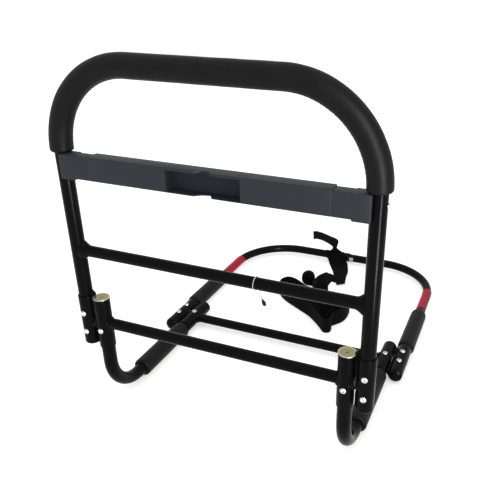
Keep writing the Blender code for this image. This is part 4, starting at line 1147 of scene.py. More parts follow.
def cross_bar_flare(side):
    """Flared collar that spreads the cross bar's joint up and down the leg."""
    outwards = Vector((side, 0, 0))
    centre = CROSS_BAR + outwards * HANDLE_HALF_WIDTH
    start = LEG_RADIUS / 2
    rings, along = [], []
    for step in range(FLARE_STEPS + 1):
        share = step / FLARE_STEPS
        distance = start + (LEG_RADIUS + FLARE_LENGTH - start) * share
        spread = (1 - max(0.0, distance - LEG_RADIUS) / FLARE_LENGTH) ** FLARE_CURVE
        wide = BORE_ON_CROSS_BAR + FLARE_EDGE + spread * FLARE_SPREAD / FLARE_TALLNESS
        tall = BORE_ON_CROSS_BAR + FLARE_EDGE + spread * FLARE_SPREAD
        rings.append([
            centre - outwards * distance + Vector((0, wide * math.cos(angle), tall * math.sin(angle)))
            for angle in (math.tau * index / TUBE_SIDES for index in range(TUBE_SIDES))
        ])
        along.append(distance)
    up = Vector((0, 0, CROSS_RADIUS + FLARE_SPREAD + OVERRUN))
    leg = rod(BORE, centre - up, centre + up)
    bar = rod(BORE_ON_CROSS_BAR, centre + outwards * OVERRUN,
              centre - outwards * (LEG_RADIUS + FLARE_LENGTH + OVERRUN))
    return combined(loft(rings, along), [leg, bar], "DIFFERENCE")


class BEDRAIL_OT_tubes(bpy.types.Operator):
    """Bend the steel tubes of base, handle and loop"""

    bl_idname = "bed_rail.tubes"
    bl_label = "Steel tubes"

    def execute(self, context):
        foot = AXLE_HEIGHT - FRONT_DOME_REACH + DOME_HEIGHT + GAP
        place_tube("hoop", hoop_path(foot), LEG_RADIUS, "handle", ["handle_tube"])
        place_tube("under_mattress_loop", loop_path(), LOOP_RADIUS, "loop", ["loop_tube"])
        for side, word in LEFT_AND_RIGHT:
            place_tube(f"{word}_post_and_runner", runner_path(side), LEG_RADIUS, "base",
                       [f"base_tube_{word}"])
        place_tube("front_spreader", cross_path(FRONT_AXLE, BASE_HALF_WIDTH, SLEEVE_RADIUS),
                   CROSS_RADIUS, "base", ["front_cross_tube"])
        place_tube("rear_spreader", cross_path(REAR_AXLE, BASE_HALF_WIDTH, SLEEVE_RADIUS),
                   CROSS_RADIUS, "base", ["rear_cross_tube"])
        place_tube("handle_spreader", cross_path(CROSS_BAR, HANDLE_HALF_WIDTH, LEG_RADIUS),
                   CROSS_RADIUS, "handle", ["upper_crossbar"])
        for side, word in LEFT_AND_RIGHT:
            publish(f"{word}_spreader_flare", cross_bar_flare(side), "handle", "coated_steel")
        return {"FINISHED"}


# Hinges

def ring_sector(inner, outer, start_angle, end_angle, low_x, high_x):
    """Arc-shaped block round the local X axis; angles run from +Z towards +Y."""
    steps = max(SECTOR_STEPS, round(abs(end_angle - start_angle) / SECTOR_ANGLE))
    angles = [start_angle + (end_angle - start_angle) * step / steps for step in range(steps + 1)]
    turns = [math.radians(angle) for angle in angles]
    outline = [(low_x, outer * math.sin(turn), outer * math.cos(turn)) for turn in turns]
    outline += [(low_x, inner * math.sin(turn), inner * math.cos(turn)) for turn in reversed(turns)]
    return prism(outline, (high_x - low_x, 0, 0))


def sleeve_outline(length, domed, seam):
    """Half section of a sleeve, from its open end to its dome or second open end."""
    outline = [(0, 0), (SLEEVE_RADIUS, 0)]
    if not domed:
        return softened(outline + [(SLEEVE_RADIUS, length), (0, length)], SLEEVE_RIM)
    start = length - DOME_HEIGHT
    if seam:
        groove = SLEEVE_RADIUS - SEAM_DEPTH
        outline += [(SLEEVE_RADIUS, start - 2 * SEAM_WIDTH), (groove, start - 1.5 * SEAM_WIDTH),
                    (SLEEVE_RADIUS, start - SEAM_WIDTH)]
    outline = softened(outline + [(SLEEVE_RADIUS, start)], SLEEVE_RIM)
    for step in range(1, DOME_STEPS):
        angle = math.pi / 2 * step / DOME_STEPS
        outline.append((SLEEVE_RADIUS * math.cos(angle), start + DOME_HEIGHT * math.sin(angle)))
    return outline + [(0, length)]


def bolt_seat(x, height):
    """Cutter for the flat round seat of a bolt head, on the sleeve's local -Y side."""
    seat = SLEEVE_RADIUS - SEAT_DEPTH
    radius = HEAD_RADIUS + 2 * GAP
    outline = [(0, 0), (radius, 0), (radius + SEAT_DEPTH, SEAT_DEPTH + GAP),
               (radius + SEAT_DEPTH, OVERRUN), (0, OVERRUN)]
    return lathe(outline, aim((x, -seat, height), (0, -1, 0)), TUBE_SIDES)


def hinge_sleeve(name, hinge, side, inner, bore, ends, domed, bolts, body, node, seam=False):
    """Sleeve with its hub, bore, bolt seats and its half of the angle stop."""
    open_end, far_end = ends
    x = side * (BASE_HALF_WIDTH if inner else HANDLE_HALF_WIDTH)
    face = side * (INNER_FACE if inner else OUTER_FACE)
    sign = 1 if far_end > open_end else -1
    outline = sleeve_outline(abs(far_end - open_end), domed, seam)
    mesh = lathe(outline, aim((x, 0, open_end), (0, 0, sign)))
    mesh = combined(mesh, [rod(HUB_RADIUS, (x, 0, 0), (face, 0, 0), FINE_SIDES, HUB_EDGE)], "UNION")
    bore_end = far_end - sign * DOME_HEIGHT if domed else far_end + sign * OVERRUN
    cuts = [rod(bore, (x, 0, open_end - sign * OVERRUN), (x, 0, bore_end))]
    cuts += [bolt_seat(x, height) for height in bolts]
    mesh = combined(mesh, cuts, "DIFFERENCE")
    half = TOOTH_ANGLE / 2
    if inner:
        tooth = ring_sector(TOOTH_INNER, TOOTH_OUTER, 180 - half, 180 + half,
                            face - side * TOOTH_ROOT, face + side * TOOTH_HEIGHT)
        mesh = combined(mesh, [tooth], "UNION")
    else:
        travel = HANDLE_TRAVEL if hinge is FRONT_HINGE else LOOP_TRAVEL
        depth = TOOTH_HEIGHT - (OUTER_FACE - INNER_FACE) + GAP
        pocket = ring_sector(TOOTH_INNER - GAP, HUB_RADIUS + OVERRUN,
                             180 - half - travel - STOP_CLEARANCE_ANGLE,
                             180 + half + STOP_CLEARANCE_ANGLE,
                             face - side * OVERRUN, face + side * depth)
        mesh = combined(mesh, [pocket], "DIFFERENCE")
    mesh.transform(hinge)
    publish(name, mesh, body, "coated_steel", [node])


class BEDRAIL_OT_hinges(bpy.types.Operator):
    """Make the eight hinge sleeves with hubs and stops, and finish the pins between them"""

    bl_idname = "bed_rail.hinges"
    bl_label = "Hinges"

    def execute(self, context):
        for side, word in LEFT_AND_RIGHT:
            hinge_sleeve(f"{word}_post_sleeve", FRONT_HINGE, side, True, BORE,
                         (POST_SLEEVE_REACH, -POST_SLEEVE_REACH), False, [POST_BOLT],
                         "base", f"front_hinge_sleeve_{word}")
            hinge_sleeve(f"{word}_runner_sleeve", REAR_HINGE, side, True, BORE,
                         (-SLEEVE_OPEN_REACH, REAR_DOME_REACH), True, [0.0],
                         "base", f"rear_hinge_sleeve_{word}")
            hinge_sleeve(f"{word}_leg_sleeve", FRONT_HINGE, side, False, BORE,
                         (SLEEVE_OPEN_REACH, -FRONT_DOME_REACH), True, HANDLE_BOLTS,
                         "handle", f"handle_sleeve_{word}")
            hinge_sleeve(f"{word}_loop_sleeve", REAR_HINGE, side, False, LOOP_BORE,
                         (SLEEVE_OPEN_REACH, -REAR_DOME_REACH), True, LOOP_BOLTS,
                         "loop", f"loop_sleeve_{word}", seam=True)
            hinge_rib(f"{word}_leg_rib", FRONT_HINGE, side, (RIB_START, LUG_BOTTOM), "handle")
            hinge_rib(f"{word}_leg_low_rib", FRONT_HINGE, side, (-RIB_REACH, -RIB_START), "handle",
                      THIN_RIB)
            hinge_rib(f"{word}_loop_rib", REAR_HINGE, side, (RIB_START, RIB_REACH), "loop")
            hinge_rib(f"{word}_loop_front_rib", REAR_HINGE, side, (-RIB_REACH, -RIB_START), "loop")
            stop_lug(side, word)
            for place in ("front", "rear"):
                repaint(f"{place}_pivot_bolt_{word}", "black_oxide_steel")
                repaint(f"{place}_hinge_washer_{word}", "natural_nylon")
        return {"FINISHED"}


def repaint(node, finish):
    """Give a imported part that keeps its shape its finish."""
    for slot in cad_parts[node].material_slots:
        slot.material = finish_of(finish)


def hinge_rib(name, hinge, side, span, body, thickness=RIB_THICKNESS):
    """Flat bar along a moving sleeve that closes the slit beside the fixed sleeve."""
    outer = side * (HANDLE_HALF_WIDTH - SLEEVE_RADIUS + GAP)
    inner = outer - side * thickness
    low_x, high_x = sorted((inner, outer))
    low, high = span
    mesh = block((low_x, -RIB_HALF_WIDTH, low), (high_x, RIB_HALF_WIDTH, high), LUG_EDGE)
    mesh.transform(hinge)
    publish(name, mesh, body, "coated_steel")


def stop_lug(side, word):
    """Small wedge on the inner side of a handle leg."""
    x = side * HANDLE_HALF_WIDTH
    half = LUG_THICKNESS / 2
    root = LEG_RADIUS - WELD_SINK
    corners = [(root, LUG_BOTTOM), (LUG_REACH, LUG_BOTTOM), (LUG_REACH, LUG_BOTTOM + half),
               (LUG_TOP_REACH, LUG_TOP), (root, LUG_TOP)]
    outline = [at(x - side * reach, -half, AXLE_HEIGHT + height) for reach, height in corners]
    mesh = bevelled(prism(outline, (0, LUG_THICKNESS, 0)), LUG_EDGE, segments=3)
    publish(f"{word}_stop_wedge", mesh, "handle", "coated_steel", [f"stop_lug_{word}"])


# Welds

def saddle_weld(centre, towards, radius, round_radius, upright):
    """Closed path where a bar along X meets a round part; upright is that part's axis."""
    across = Vector((1, 0, 0)).cross(upright)
    reach = radius + GAP
    path = []
    for step in range(TUBE_SIDES):
        angle = math.tau * step / TUBE_SIDES
        sideways = reach * math.cos(angle)
        depth = math.sqrt(max(0.0, (round_radius + GAP) ** 2 - sideways ** 2))
        path.append(centre + Vector((towards * depth, 0, 0)) + across * sideways
                    + upright * reach * math.sin(angle))
    return path


def lug_welds(side):
    """Short welds down both faces of a stop wedge."""
    x = side * HANDLE_HALF_WIDTH
    half = LUG_THICKNESS / 2
    depth = math.sqrt(LEG_RADIUS ** 2 - half ** 2)
    low, high = AXLE_HEIGHT + LUG_BOTTOM, AXLE_HEIGHT + LUG_TOP
    return [[at(x - side * depth, y, low), at(x - side * depth, y, high)] for y in (-half, half)]


def place_welds(name, tube_paths, hub_paths, lug_paths, body):
    size = sizes()
    groups = ((tube_paths, size.weld_radius, True), (hub_paths, size.hub_weld_radius, True),
              (lug_paths, size.hub_weld_radius, False))
    meshes = [
        grown(chains(paths, closed), beads_along_path,
              Pitch=radius * size.weld_pitch / size.weld_radius, Radius=radius,
              Stretch=WELD_STRETCH, Unevenness=WELD_UNEVENNESS, Seed=len(name),
              Finish=finish_of("satin_powder_coat"))
        for paths, radius, closed in groups if paths
    ]
    publish(name, joined(meshes), body, "coated_steel")


class BEDRAIL_OT_welds(bpy.types.Operator):
    """Lay weld beads round every joint of tube, hub and sleeve"""

    bl_idname = "bed_rail.welds"
    bl_label = "Welds"

    def execute(self, context):
        up = Vector((0, 0, 1))
        back = Vector((0, 1, 0))
        base, handle, base_hubs, handle_hubs, loop_hubs = [], [], [], [], []
        for side, _ in LEFT_AND_RIGHT:
            inner = Vector((side * BASE_HALF_WIDTH, 0, 0))
            outer = Vector((side * HANDLE_HALF_WIDTH, 0, 0))
            for axle, along, hubs in ((FRONT_AXLE, up, handle_hubs), (REAR_AXLE, back, loop_hubs)):
                base.append(saddle_weld(axle + inner, -side, CROSS_RADIUS, SLEEVE_RADIUS, along))
                base_hubs.append(saddle_weld(axle + inner, side, HUB_RADIUS, SLEEVE_RADIUS, along))
                hubs.append(saddle_weld(axle + outer, -side, HUB_RADIUS, SLEEVE_RADIUS, along))
            handle.append(saddle_weld(CROSS_BAR + outer, -side, CROSS_RADIUS, LEG_RADIUS, up))
        place_welds("base_welds", base, base_hubs, [], "base")
        place_welds("handle_welds", handle, handle_hubs, lug_welds(-1) + lug_welds(1), "handle")
        place_welds("loop_welds", [], loop_hubs, [], "loop")
        return {"FINISHED"}


# Fasteners

def button_bolt(shank):
    """Button-head socket screw along Z; its head stands on the plane z = 0."""
    head = [(0, HEAD_HEIGHT)]
    for step in range(1, HEAD_STEPS + 1):
        angle = math.pi / 2 * step / HEAD_STEPS
        head.append((HEAD_RADIUS * (HEAD_FLAT + (1 - HEAD_FLAT) * math.sin(angle)),
                     HEAD_HEIGHT * (HEAD_RIM + (1 - HEAD_RIM) * math.cos(angle))))
    outline = head + [(HEAD_RADIUS, 0), (BOLT_RADIUS, 0)]
    height = -shank + THREAD_LENGTH
    while height > -shank + THREAD_PITCH:
        outline += [(BOLT_RADIUS, height), (BOLT_RADIUS - THREAD_DEPTH, height - THREAD_PITCH / 2)]
        height -= THREAD_PITCH
    outline += [(BOLT_RADIUS, -shank + THREAD_DEPTH), (BOLT_RADIUS - THREAD_DEPTH, -shank), (0, -shank)]
    bolt = lathe(outline, count=BOLT_SIDES)
    socket = rod(SOCKET_RADIUS, (0, 0, HEAD_HEIGHT - SOCKET_DEPTH), (0, 0, HEAD_HEIGHT + OVERRUN), 6)
    return combined(bolt, [socket], "DIFFERENCE")


def weld_nut():
    """Hexagon nut with chamfered corners; it stands on the plane z = 0."""
    nut = rod(NUT_RADIUS, (0, 0, -OVERRUN), (0, 0, NUT_HEIGHT), 6)
    outline = softened([
        (0, -OVERRUN), (NUT_RADIUS, -OVERRUN), (NUT_RADIUS, NUT_HEIGHT - NUT_CORNER),
        (NUT_RADIUS - 2 * NUT_CORNER, NUT_HEIGHT), (0, NUT_HEIGHT),
    ], GAP)
    nut = combined(nut, [lathe(outline, count=NUT_SIDES)], "INTERSECT")
    hole = rod(BOLT_RADIUS - GAP, (0, 0, 0), (0, 0, NUT_HEIGHT + OVERRUN), HOLE_SIDES)
    return combined(nut, [hole], "DIFFERENCE")


def pan_screw():
    """Pan-head screw with a cross recess; its head stands on the plane z = 0."""
    height = BAR_SCREW_HEAD_HEIGHT
    length = LEG_RADIUS + GAP + BAR_SCREW_REACH
    radius = BAR_SCREW_HEAD_RADIUS
    outline = softened([(radius * wide, height * up) for wide, up in BAR_SCREW_HEAD],
                       BAR_SCREW_EDGE)
    outline += [(BAR_SCREW_RADIUS, 0), (BAR_SCREW_RADIUS, -length), (0, -length - BAR_SCREW_RADIUS)]
    half = BAR_SCREW_SLOT / 2
    reach = radius * BAR_SCREW_SLOT_REACH
    slots = [block((-x, -y, height * BAR_SCREW_SLOT_FLOOR), (x, y, height + OVERRUN))
             for x, y in ((reach, half), (half, reach))]
    return combined(lathe(outline, count=BOLT_SIDES), slots, "DIFFERENCE")


def place_fasteners(name, shape, spots, body, slot, nodes=()):
    """Put one copy of a fastener on each spot, a (place, facing) pair."""
    prototype = new_object("prototype", shape)
    guide = bpy.data.meshes.new("spots")
    guide.from_pydata([place for place, _ in spots], [], [])
    facing = guide.attributes.new("facing", "FLOAT_VECTOR", "POINT")
    for entry, (_, direction) in zip(facing.data, spots):
        entry.vector = direction
    mesh = grown(guide, fasteners_on_points, Fastener=prototype,
                 Finish=finish_of(FINISHES[slot]))
    bpy.data.objects.remove(prototype, do_unlink=True)
    publish(name, mesh, body, slot, nodes)


def hinge_spots(hinge, inner, heights, depth, direction):
    """Places on both sides of a hinge, at a depth along the local Y axis."""
    centre = BASE_HALF_WIDTH if inner else HANDLE_HALF_WIDTH
    facing = hinge.to_3x3() @ Vector((0, direction, 0))
    return [(hinge @ Vector((side * centre, direction * depth, height)), facing)
            for side, _ in LEFT_AND_RIGHT for height in heights]


class BEDRAIL_OT_fasteners(bpy.types.Operator):
    """Set the bolts, weld nuts and bar screws"""

    bl_idname = "bed_rail.fasteners"
    bl_label = "Fasteners"

    def execute(self, context):
        seat = SLEEVE_RADIUS - SEAT_DEPTH + GAP
        through = seat + SLEEVE_RADIUS + NUT_HEIGHT
        pinned = seat - PIVOT_RADIUS - GAP
        groups = (
            ("post_bolts", FRONT_HINGE, True, [POST_BOLT], through, "base", "base_front_bolt_{}"),
            ("runner_bolts", REAR_HINGE, True, [0.0], pinned, "base", "base_rear_bolt_{}"),
            ("leg_bolts", FRONT_HINGE, False, HANDLE_BOLTS, through, "handle", "handle_bolt_{}"),
            ("loop_bolts", REAR_HINGE, False, LOOP_BOLTS, through, "loop", "loop_bolt_{}"),
        )
        for name, hinge, inner, heights, shank, body, label in groups:
            nodes = [label.format(word) for _, word in LEFT_AND_RIGHT]
            if len(heights) > 1:
                nodes = [f"{node}_{number}" for node in nodes for number in (1, 2)]
            spots = hinge_spots(hinge, inner, heights, seat, -1)
            place_fasteners(name, button_bolt(shank), spots, body, "zinc_steel", nodes)
            if shank == through:
                spots = hinge_spots(hinge, inner, heights, SLEEVE_RADIUS, 1)
                place_fasteners(name.replace("bolts", "nuts"), weld_nut(), spots, body,
                                "coated_steel")
        spots = [(at(side * (HANDLE_HALF_WIDTH + LEG_RADIUS + GAP), 0, (BAR_BOTTOM + BAR_TOP) / 2),
                  Vector((side, 0, 0))) for side, _ in LEFT_AND_RIGHT]
        place_fasteners("light_bar_screws", pan_screw(), spots, "handle", "zinc_steel",
                        [f"light_bar_screw_{word}" for _, word in LEFT_AND_RIGHT])
        return {"FINISHED"}


# Post caps

def post_cap(side, word):
    """Turned cap with a raised rim, a dished face and a slot; the rim is marked for a painted highlight,
    the slot's floor and the underside for painted shade.
    """
    face = CAP_THICKNESS - CAP_RIM_HEIGHT
    rim = CAP_RADIUS - CAP_RIM_WIDTH
    outline = softened([
        (0, face - CAP_RIM_HEIGHT), (rim / 2, face - CAP_RIM_HEIGHT * 0.8),
        (rim - 2 * CAP_RIM_HEIGHT, face), (rim, CAP_THICKNESS), (CAP_RADIUS, CAP_THICKNESS),
        (CAP_RADIUS, 0), (CAP_PLUG_RADIUS, 0), (CAP_PLUG_RADIUS, -CAP_PLUG_DEPTH),
        (0, -CAP_PLUG_DEPTH),
    ], CAP_EDGE)
    half = Vector((CAP_SLOT_LENGTH, CAP_SLOT_WIDTH, 0)) / 2
    slot = block(Vector((0, 0, face - CAP_SLOT_DEPTH)) - half,
                 Vector((0, 0, CAP_THICKNESS + OVERRUN)) + half, CAP_SLOT_WIDTH * 0.3, 2)
    slot.transform(Matrix.Rotation(CAP_SLOT_TURN, 4, "Z"))
    mesh = combined(lathe(outline, count=FINE_SIDES), [slot], "DIFFERENCE")
    dish = face - CAP_RIM_HEIGHT - CAP_DISH_SLACK
    # The rim's points carry the painted highlight.
    mark_points(mesh, "polish", lambda place: eased(
        (place.to_2d().length - rim + CAP_RIM_WIDTH) / CAP_RIM_WIDTH))
    # The underside and the slot's floor carry the painted shade.
    mark_points(mesh, "dirt", lambda place: float(
        place.z < CAP_SHADE_HEIGHT or (place.to_2d().length < CAP_SLOT_LENGTH and place.z < dish)))
    mesh.transform(Matrix.Translation(
        at(side * BASE_HALF_WIDTH, 0, AXLE_HEIGHT + POST_SLEEVE_REACH + GAP)))
    publish(f"{word}_post_cap", mesh, "base", "gold_steel", [f"end_cap_{word}"])


class BEDRAIL_OT_caps(bpy.types.Operator):
    """Turn the plated caps of the posts"""

    bl_idname = "bed_rail.caps"
    bl_label = "Post caps"

    def execute(self, context):
        for side, word in LEFT_AND_RIGHT:
            post_cap(side, word)
        return {"FINISHED"}


# Foam

def foam_radius(distance, length, stops):
    """Outer radius along a foam sleeve, with rounded ends; stops are (distance, radius)."""
    radius = stops[-1][1]
    for (start, first), (end, second) in zip(stops, stops[1:]):
        if start <= distance <= end:
            radius = first + (second - first) * eased((distance - start) / (end - start))
            break
    from_end = min(distance, length - distance)
    if from_end < FOAM_EDGE:
        radius -= FOAM_EDGE - math.sqrt(FOAM_EDGE ** 2 - (FOAM_EDGE - from_end) ** 2)
    return radius


def foam_distances(length):
    """Places of the rings: close together where the ends are rounded, then a steady step."""
    ends = [FOAM_EDGE * (1 - math.cos(math.pi / 2 * step / FOAM_EDGE_STEPS))
            for step in range(FOAM_EDGE_STEPS + 1)]
    count = round((length - 2 * FOAM_EDGE) / FOAM_STEP)
    step = (length - 2 * FOAM_EDGE) / count
    steady = [FOAM_EDGE + step * index for index in range(1, count)]
    return ends + steady + [length - distance for distance in reversed(ends)]


def foam_tube(path, normal, bore, stops, wrinkle=0.0):
    """Foam round a flat path: rounded ends, gentle swells and folds inside the bends."""
    length = path_length(path)
    along = foam_distances(length)
    rings = []
    for distance in along:
        point, _ = on_path(path, distance)
        up = normal.cross(smooth_direction(path, distance))
        turn = turn_at(path, distance)
        thickness = foam_radius(distance, length, stops)
        ring = []
        for index in range(FOAM_SIDES):
            angle = math.tau * index / FOAM_SIDES
            outwards = up * math.cos(angle) + normal * math.sin(angle)
            swell = noise.noise((point + outwards * thickness) / FOAM_SWELL_SIZE)
            inside = max(0.0, outwards.dot(turn) * HOOP_BEND)
            fold = 0.5 + 0.5 * math.sin(math.tau * distance / FOAM_FOLD_PITCH + 2 * swell)
            change = FOAM_SWELL_DEPTH * swell - wrinkle * inside ** 2 * fold
            ring.append(point + outwards * (thickness + change))
        rings.append(ring)
    inner = along[::4]
    if inner[-1] < length:
        inner.append(length)
    for distance in reversed(inner):
        point, _ = on_path(path, distance)
        up = normal.cross(smooth_direction(path, distance))
        rings.append(round_ring(point, up, normal, bore, FOAM_SIDES))
    return loft(rings, along + inner[::-1], ring_closed=True)


def foam_on_floor(x, start, end, bore, stops):
    """Straight foam sleeve round a tube that lies on the floor, flattened where it stands."""
    mesh = foam_tube([at(x, start, 0), at(x, end, 0)], Vector((1, 0, 0)), bore, stops)
    for vertex in mesh.vertices:
        vertex.co.z = max(0.0, vertex.co.z)
    return mesh


def place_foam(name, mesh, body, node):
    obj = publish(name, mesh, body, "foam", [node], crease=50.0)


def grip_mesh():
    """Foam grip over the hoop, pushed up by the light bar's saddles at both ends."""
    path = hoop_path(GRIP_END_HEIGHT)
    mesh = foam_tube(path, Vector((0, 1, 0)), BORE, [(0, GRIP_RADIUS), (path_length(path), GRIP_RADIUS)],
                     sizes().foam_wrinkle)
    front, end = at(0, -BAR_FRONT, GRIP_END_HEIGHT).yz
    back, seat = at(0, BAR_DEPTH - BAR_FRONT, BAR_TOP + GAP).yz
    for vertex in mesh.vertices:
        x, y, z = vertex.co
        beside = max(0.0, abs(x) - SADDLE_END, y - back, front - y)
        if beside < GRIP_EASE:
            vertex.co.z = max(z, seat - beside * (seat - end) / GRIP_EASE)
    return mesh


class BEDRAIL_OT_foam(bpy.types.Operator):
    """Slide the foam grip and the four foam sleeves over the tubes"""

    bl_idname = "bed_rail.foam"
    bl_label = "Foam"

    def execute(self, context):
        place_foam("foam_grip", grip_mesh(), "handle", "grip_foam")
        even = [(0, BASE_FOAM_RADIUS), (BASE_FOAM_END - BASE_FOAM_START, BASE_FOAM_RADIUS)]
        tapered = [(0, LOOP_FOAM_RADIUS), (LOOP_FOAM_SHOULDER - LOOP_FOAM_START, LOOP_FOAM_RADIUS),
                   (LOOP_FOAM_END - LOOP_FOAM_START, LOOP_FOAM_TIP_RADIUS)]
        for side, word in LEFT_AND_RIGHT:
            mesh = foam_on_floor(side * BASE_HALF_WIDTH, BASE_FOAM_START, BASE_FOAM_END, BORE, even)
            place_foam(f"{word}_floor_foam", mesh, "base", f"base_foam_{word}")
            mesh = foam_on_floor(side * HANDLE_HALF_WIDTH, LOOP_FOAM_START, LOOP_FOAM_END,
                                 LOOP_BORE, tapered)
            place_foam(f"{word}_loop_foam_sleeve", mesh, "loop", f"loop_foam_{word}")
        return {"FINISHED"}


# Light bar

def lip_notch(outline, low, high):
    """Cutter for a finger notch in a lip of the pocket, from its plan behind the bar's front."""
    (first, _), *_, (last, _) = outline
    plan = [(first, -OVERRUN), *outline, (last, -OVERRUN)]
    return prism([at(x, depth - BAR_FRONT, low) for x, depth in plan], (0, 0, high - low))


def bar_housing():
    """Moulded housing with its battery-light pocket and the finger notches above and below."""
    back = BAR_DEPTH - BAR_FRONT
    body = block(at(-BAR_HALF_LENGTH, -BAR_FRONT, BAR_BOTTOM), at(BAR_HALF_LENGTH, back, BAR_TOP),
                 BAR_EDGE, 4)
    left, right = POCKET_CENTRE - POCKET_HALF_WIDTH, POCKET_CENTRE + POCKET_HALF_WIDTH
    bottom, top = BAR_BOTTOM + POCKET_BOTTOM_LIP, BAR_TOP - POCKET_TOP_LIP
    cuts = [
        block(at(left, -BAR_FRONT - OVERRUN, bottom), at(right, POCKET_DEPTH - BAR_FRONT, top),
              POCKET_EDGE),
        lip_notch(TOP_NOTCH, top - OVERRUN, BAR_TOP + OVERRUN),
        lip_notch(BOTTOM_NOTCH, BAR_BOTTOM - OVERRUN, bottom + OVERRUN),
    ]
    mesh = bevelled(combined(body, cuts, "DIFFERENCE"), NOTCH_EDGE, angle=60.0)
    # Points inside the pocket are marked for its painted shade, which starts a little behind the front.
    near = at(left, POCKET_SHADE_START - BAR_FRONT, bottom)
    far = at(right, back - HOUSING_WALL, top)
    mark_points(mesh, "hollow", lambda place: float(all(
        start - MM / 2 < here < end + MM / 2 for start, here, end in zip(near, place, far))))
    return mesh


def bar_end(side):
    """Neck and saddle that carry the housing on a leg."""
    back = BAR_DEPTH - BAR_FRONT
    start = BAR_HALF_LENGTH - OVERRUN
    low_x, high_x = sorted((side * start, side * (NECK_END + 2 * BAR_EDGE)))
    neck = block(at(low_x, -BAR_FRONT + GAP, BAR_BOTTOM),
                 at(high_x, back - NECK_DROP, BAR_TOP - NECK_DROP), BAR_EDGE, 4)
    low_x, high_x = sorted((side * NECK_END, side * SADDLE_END))
    saddle = block(at(low_x, -BAR_FRONT, BAR_BOTTOM - SADDLE_DROP),
                   at(high_x, back, BAR_TOP - SADDLE_DROP / 2), BAR_EDGE, 4)
    mesh = combined(neck, [saddle], "UNION")
    x = side * HANDLE_HALF_WIDTH
    leg = rod(BORE, at(x, 0, BAR_BOTTOM - OVERRUN), at(x, 0, BAR_TOP + OVERRUN))
    return bevelled(combined(mesh, [leg], "DIFFERENCE"), SADDLE_EDGE, angle=60.0)


class BEDRAIL_OT_light_bar(bpy.types.Operator):
    """Mould the light bar: housing, necks and saddles"""

    bl_idname = "bed_rail.light_bar"
    bl_label = "Light bar"

    def execute(self, context):
        publish("bar_housing", bar_housing(), "handle", "bar_plastic", ["light_bar_housing"])
        for side, word in LEFT_AND_RIGHT:
            publish(f"{word}_bar_saddle", bar_end(side), "handle", "bar_plastic",
                    [f"light_bar_end_{word}"])
        return {"FINISHED"}


# Red bands

def red_band(side, word):
    """Tape round the loop: thin, with rolled edges and one lapped seam underneath."""
    x = side * HANDLE_HALF_WIDTH
    corners = [at(x, AXLE_RUN, 0), at(x, LOOP_REACH, 0), at(0, LOOP_REACH, 0)]
    path = arc_path(corners, LOOP_BEND)
    start = LOOP_REACH - LOOP_BEND - AXLE_RUN - BAND_LEAD
    up = Vector((0, 0, 1))
    steady = [BAND_LENGTH * step / BAND_STEPS for step in range(1, BAND_STEPS)]
    rolled = [(share * BAND_THICKNESS, height) for share, height in BAND_ROLL]
    outside = rolled + [(distance, 1.0) for distance in steady]
    outside += [(BAND_LENGTH - distance, height) for distance, height in reversed(rolled)]
    rings = []
    for distance, share in outside:
        point, _ = on_path(path, start + distance)
        beside = smooth_direction(path, start + distance).cross(up)
        ring = []
        for index in range(TUBE_SIDES):
            angle = math.tau * index / TUBE_SIDES
            lap = eased(1 - abs(angle - BAND_SEAM) / BAND_LAP)
            radius = LOOP_BORE + share * BAND_THICKNESS * (1 + 0.5 * lap)
            ring.append(point + (beside * math.cos(angle) + up * math.sin(angle)) * radius)
        rings.append(ring)
    inside = [BAND_LENGTH, *steady[-2::-2], 0.0]
    for distance in inside:
        point, _ = on_path(path, start + distance)
        beside = smooth_direction(path, start + distance).cross(up)
        rings.append(round_ring(point, beside, up, LOOP_BORE, TUBE_SIDES))
    mesh = loft(rings, [distance for distance, _ in outside] + inside, ring_closed=True)
    # Points on the tape's outer side are marked for its painted shade.
    mark_points(mesh, "rubbed", lambda place: eased(
        (side * place.x - HANDLE_HALF_WIDTH - LOOP_RADIUS / 2) / (LOOP_RADIUS / 2)))
    publish(f"{word}_red_tape", mesh, "loop", "red_tape", [f"red_band_{word}"], crease=60.0)


class BEDRAIL_OT_bands(bpy.types.Operator):
    """Wind the red tape round the loop's bends"""

    bl_idname = "bed_rail.bands"
    bl_label = "Red tape"

    def execute(self, context):
        for side, word in LEFT_AND_RIGHT:
            red_band(side, word)
        return {"FINISHED"}


# Webbing

def rib_profile(thickness):
    """Half thickness of the webbing across its width, as (position from -1 to 1, height)."""
    count = WEBBING_RIBS * WEAVE_SAMPLES
    profile = []
    for index in range(count + 1):
        place = 2 * index / count - 1
        rib = abs(math.sin(math.pi * WEBBING_RIBS * index / count)) ** WEAVE_ROUNDNESS
        past = max(0.0, (abs(place) - SELVEDGE_START) / (1 - SELVEDGE_START))
        edge = max(SELVEDGE_THINNEST, math.sqrt(max(0.0, 1 - past ** 2)))
        profile.append((place, (thickness / 2 + WEAVE_HEIGHT * (rib - 0.5)) * edge))
    return profile


def half_thickness():
    """Half the webbing's thickness, ribs included."""
    return sizes().webbing_thickness / 2 + WEAVE_HEIGHT


def webbing(stations):
    """Woven strap through (centre, across) stations; across reaches from its middle to its edge."""
    profile = rib_profile(sizes().webbing_thickness)
    rings, along = [], []
    passed = 0.0
    for index, (centre, across) in enumerate(stations):
        before = stations[max(0, index - 1)][0]
        after = stations[min(len(stations) - 1, index + 1)][0]
        normal = Vector(across).cross(after - before).normalized()
        top = [centre + across * place + normal * height for place, height in profile]
        bottom = [centre + across * place - normal * height for place, height in reversed(profile)]
        rings.append(top + bottom)
        if index:
            passed += (centre - stations[index - 1][0]).length
        along.append(passed)
    return loft(rings, along)


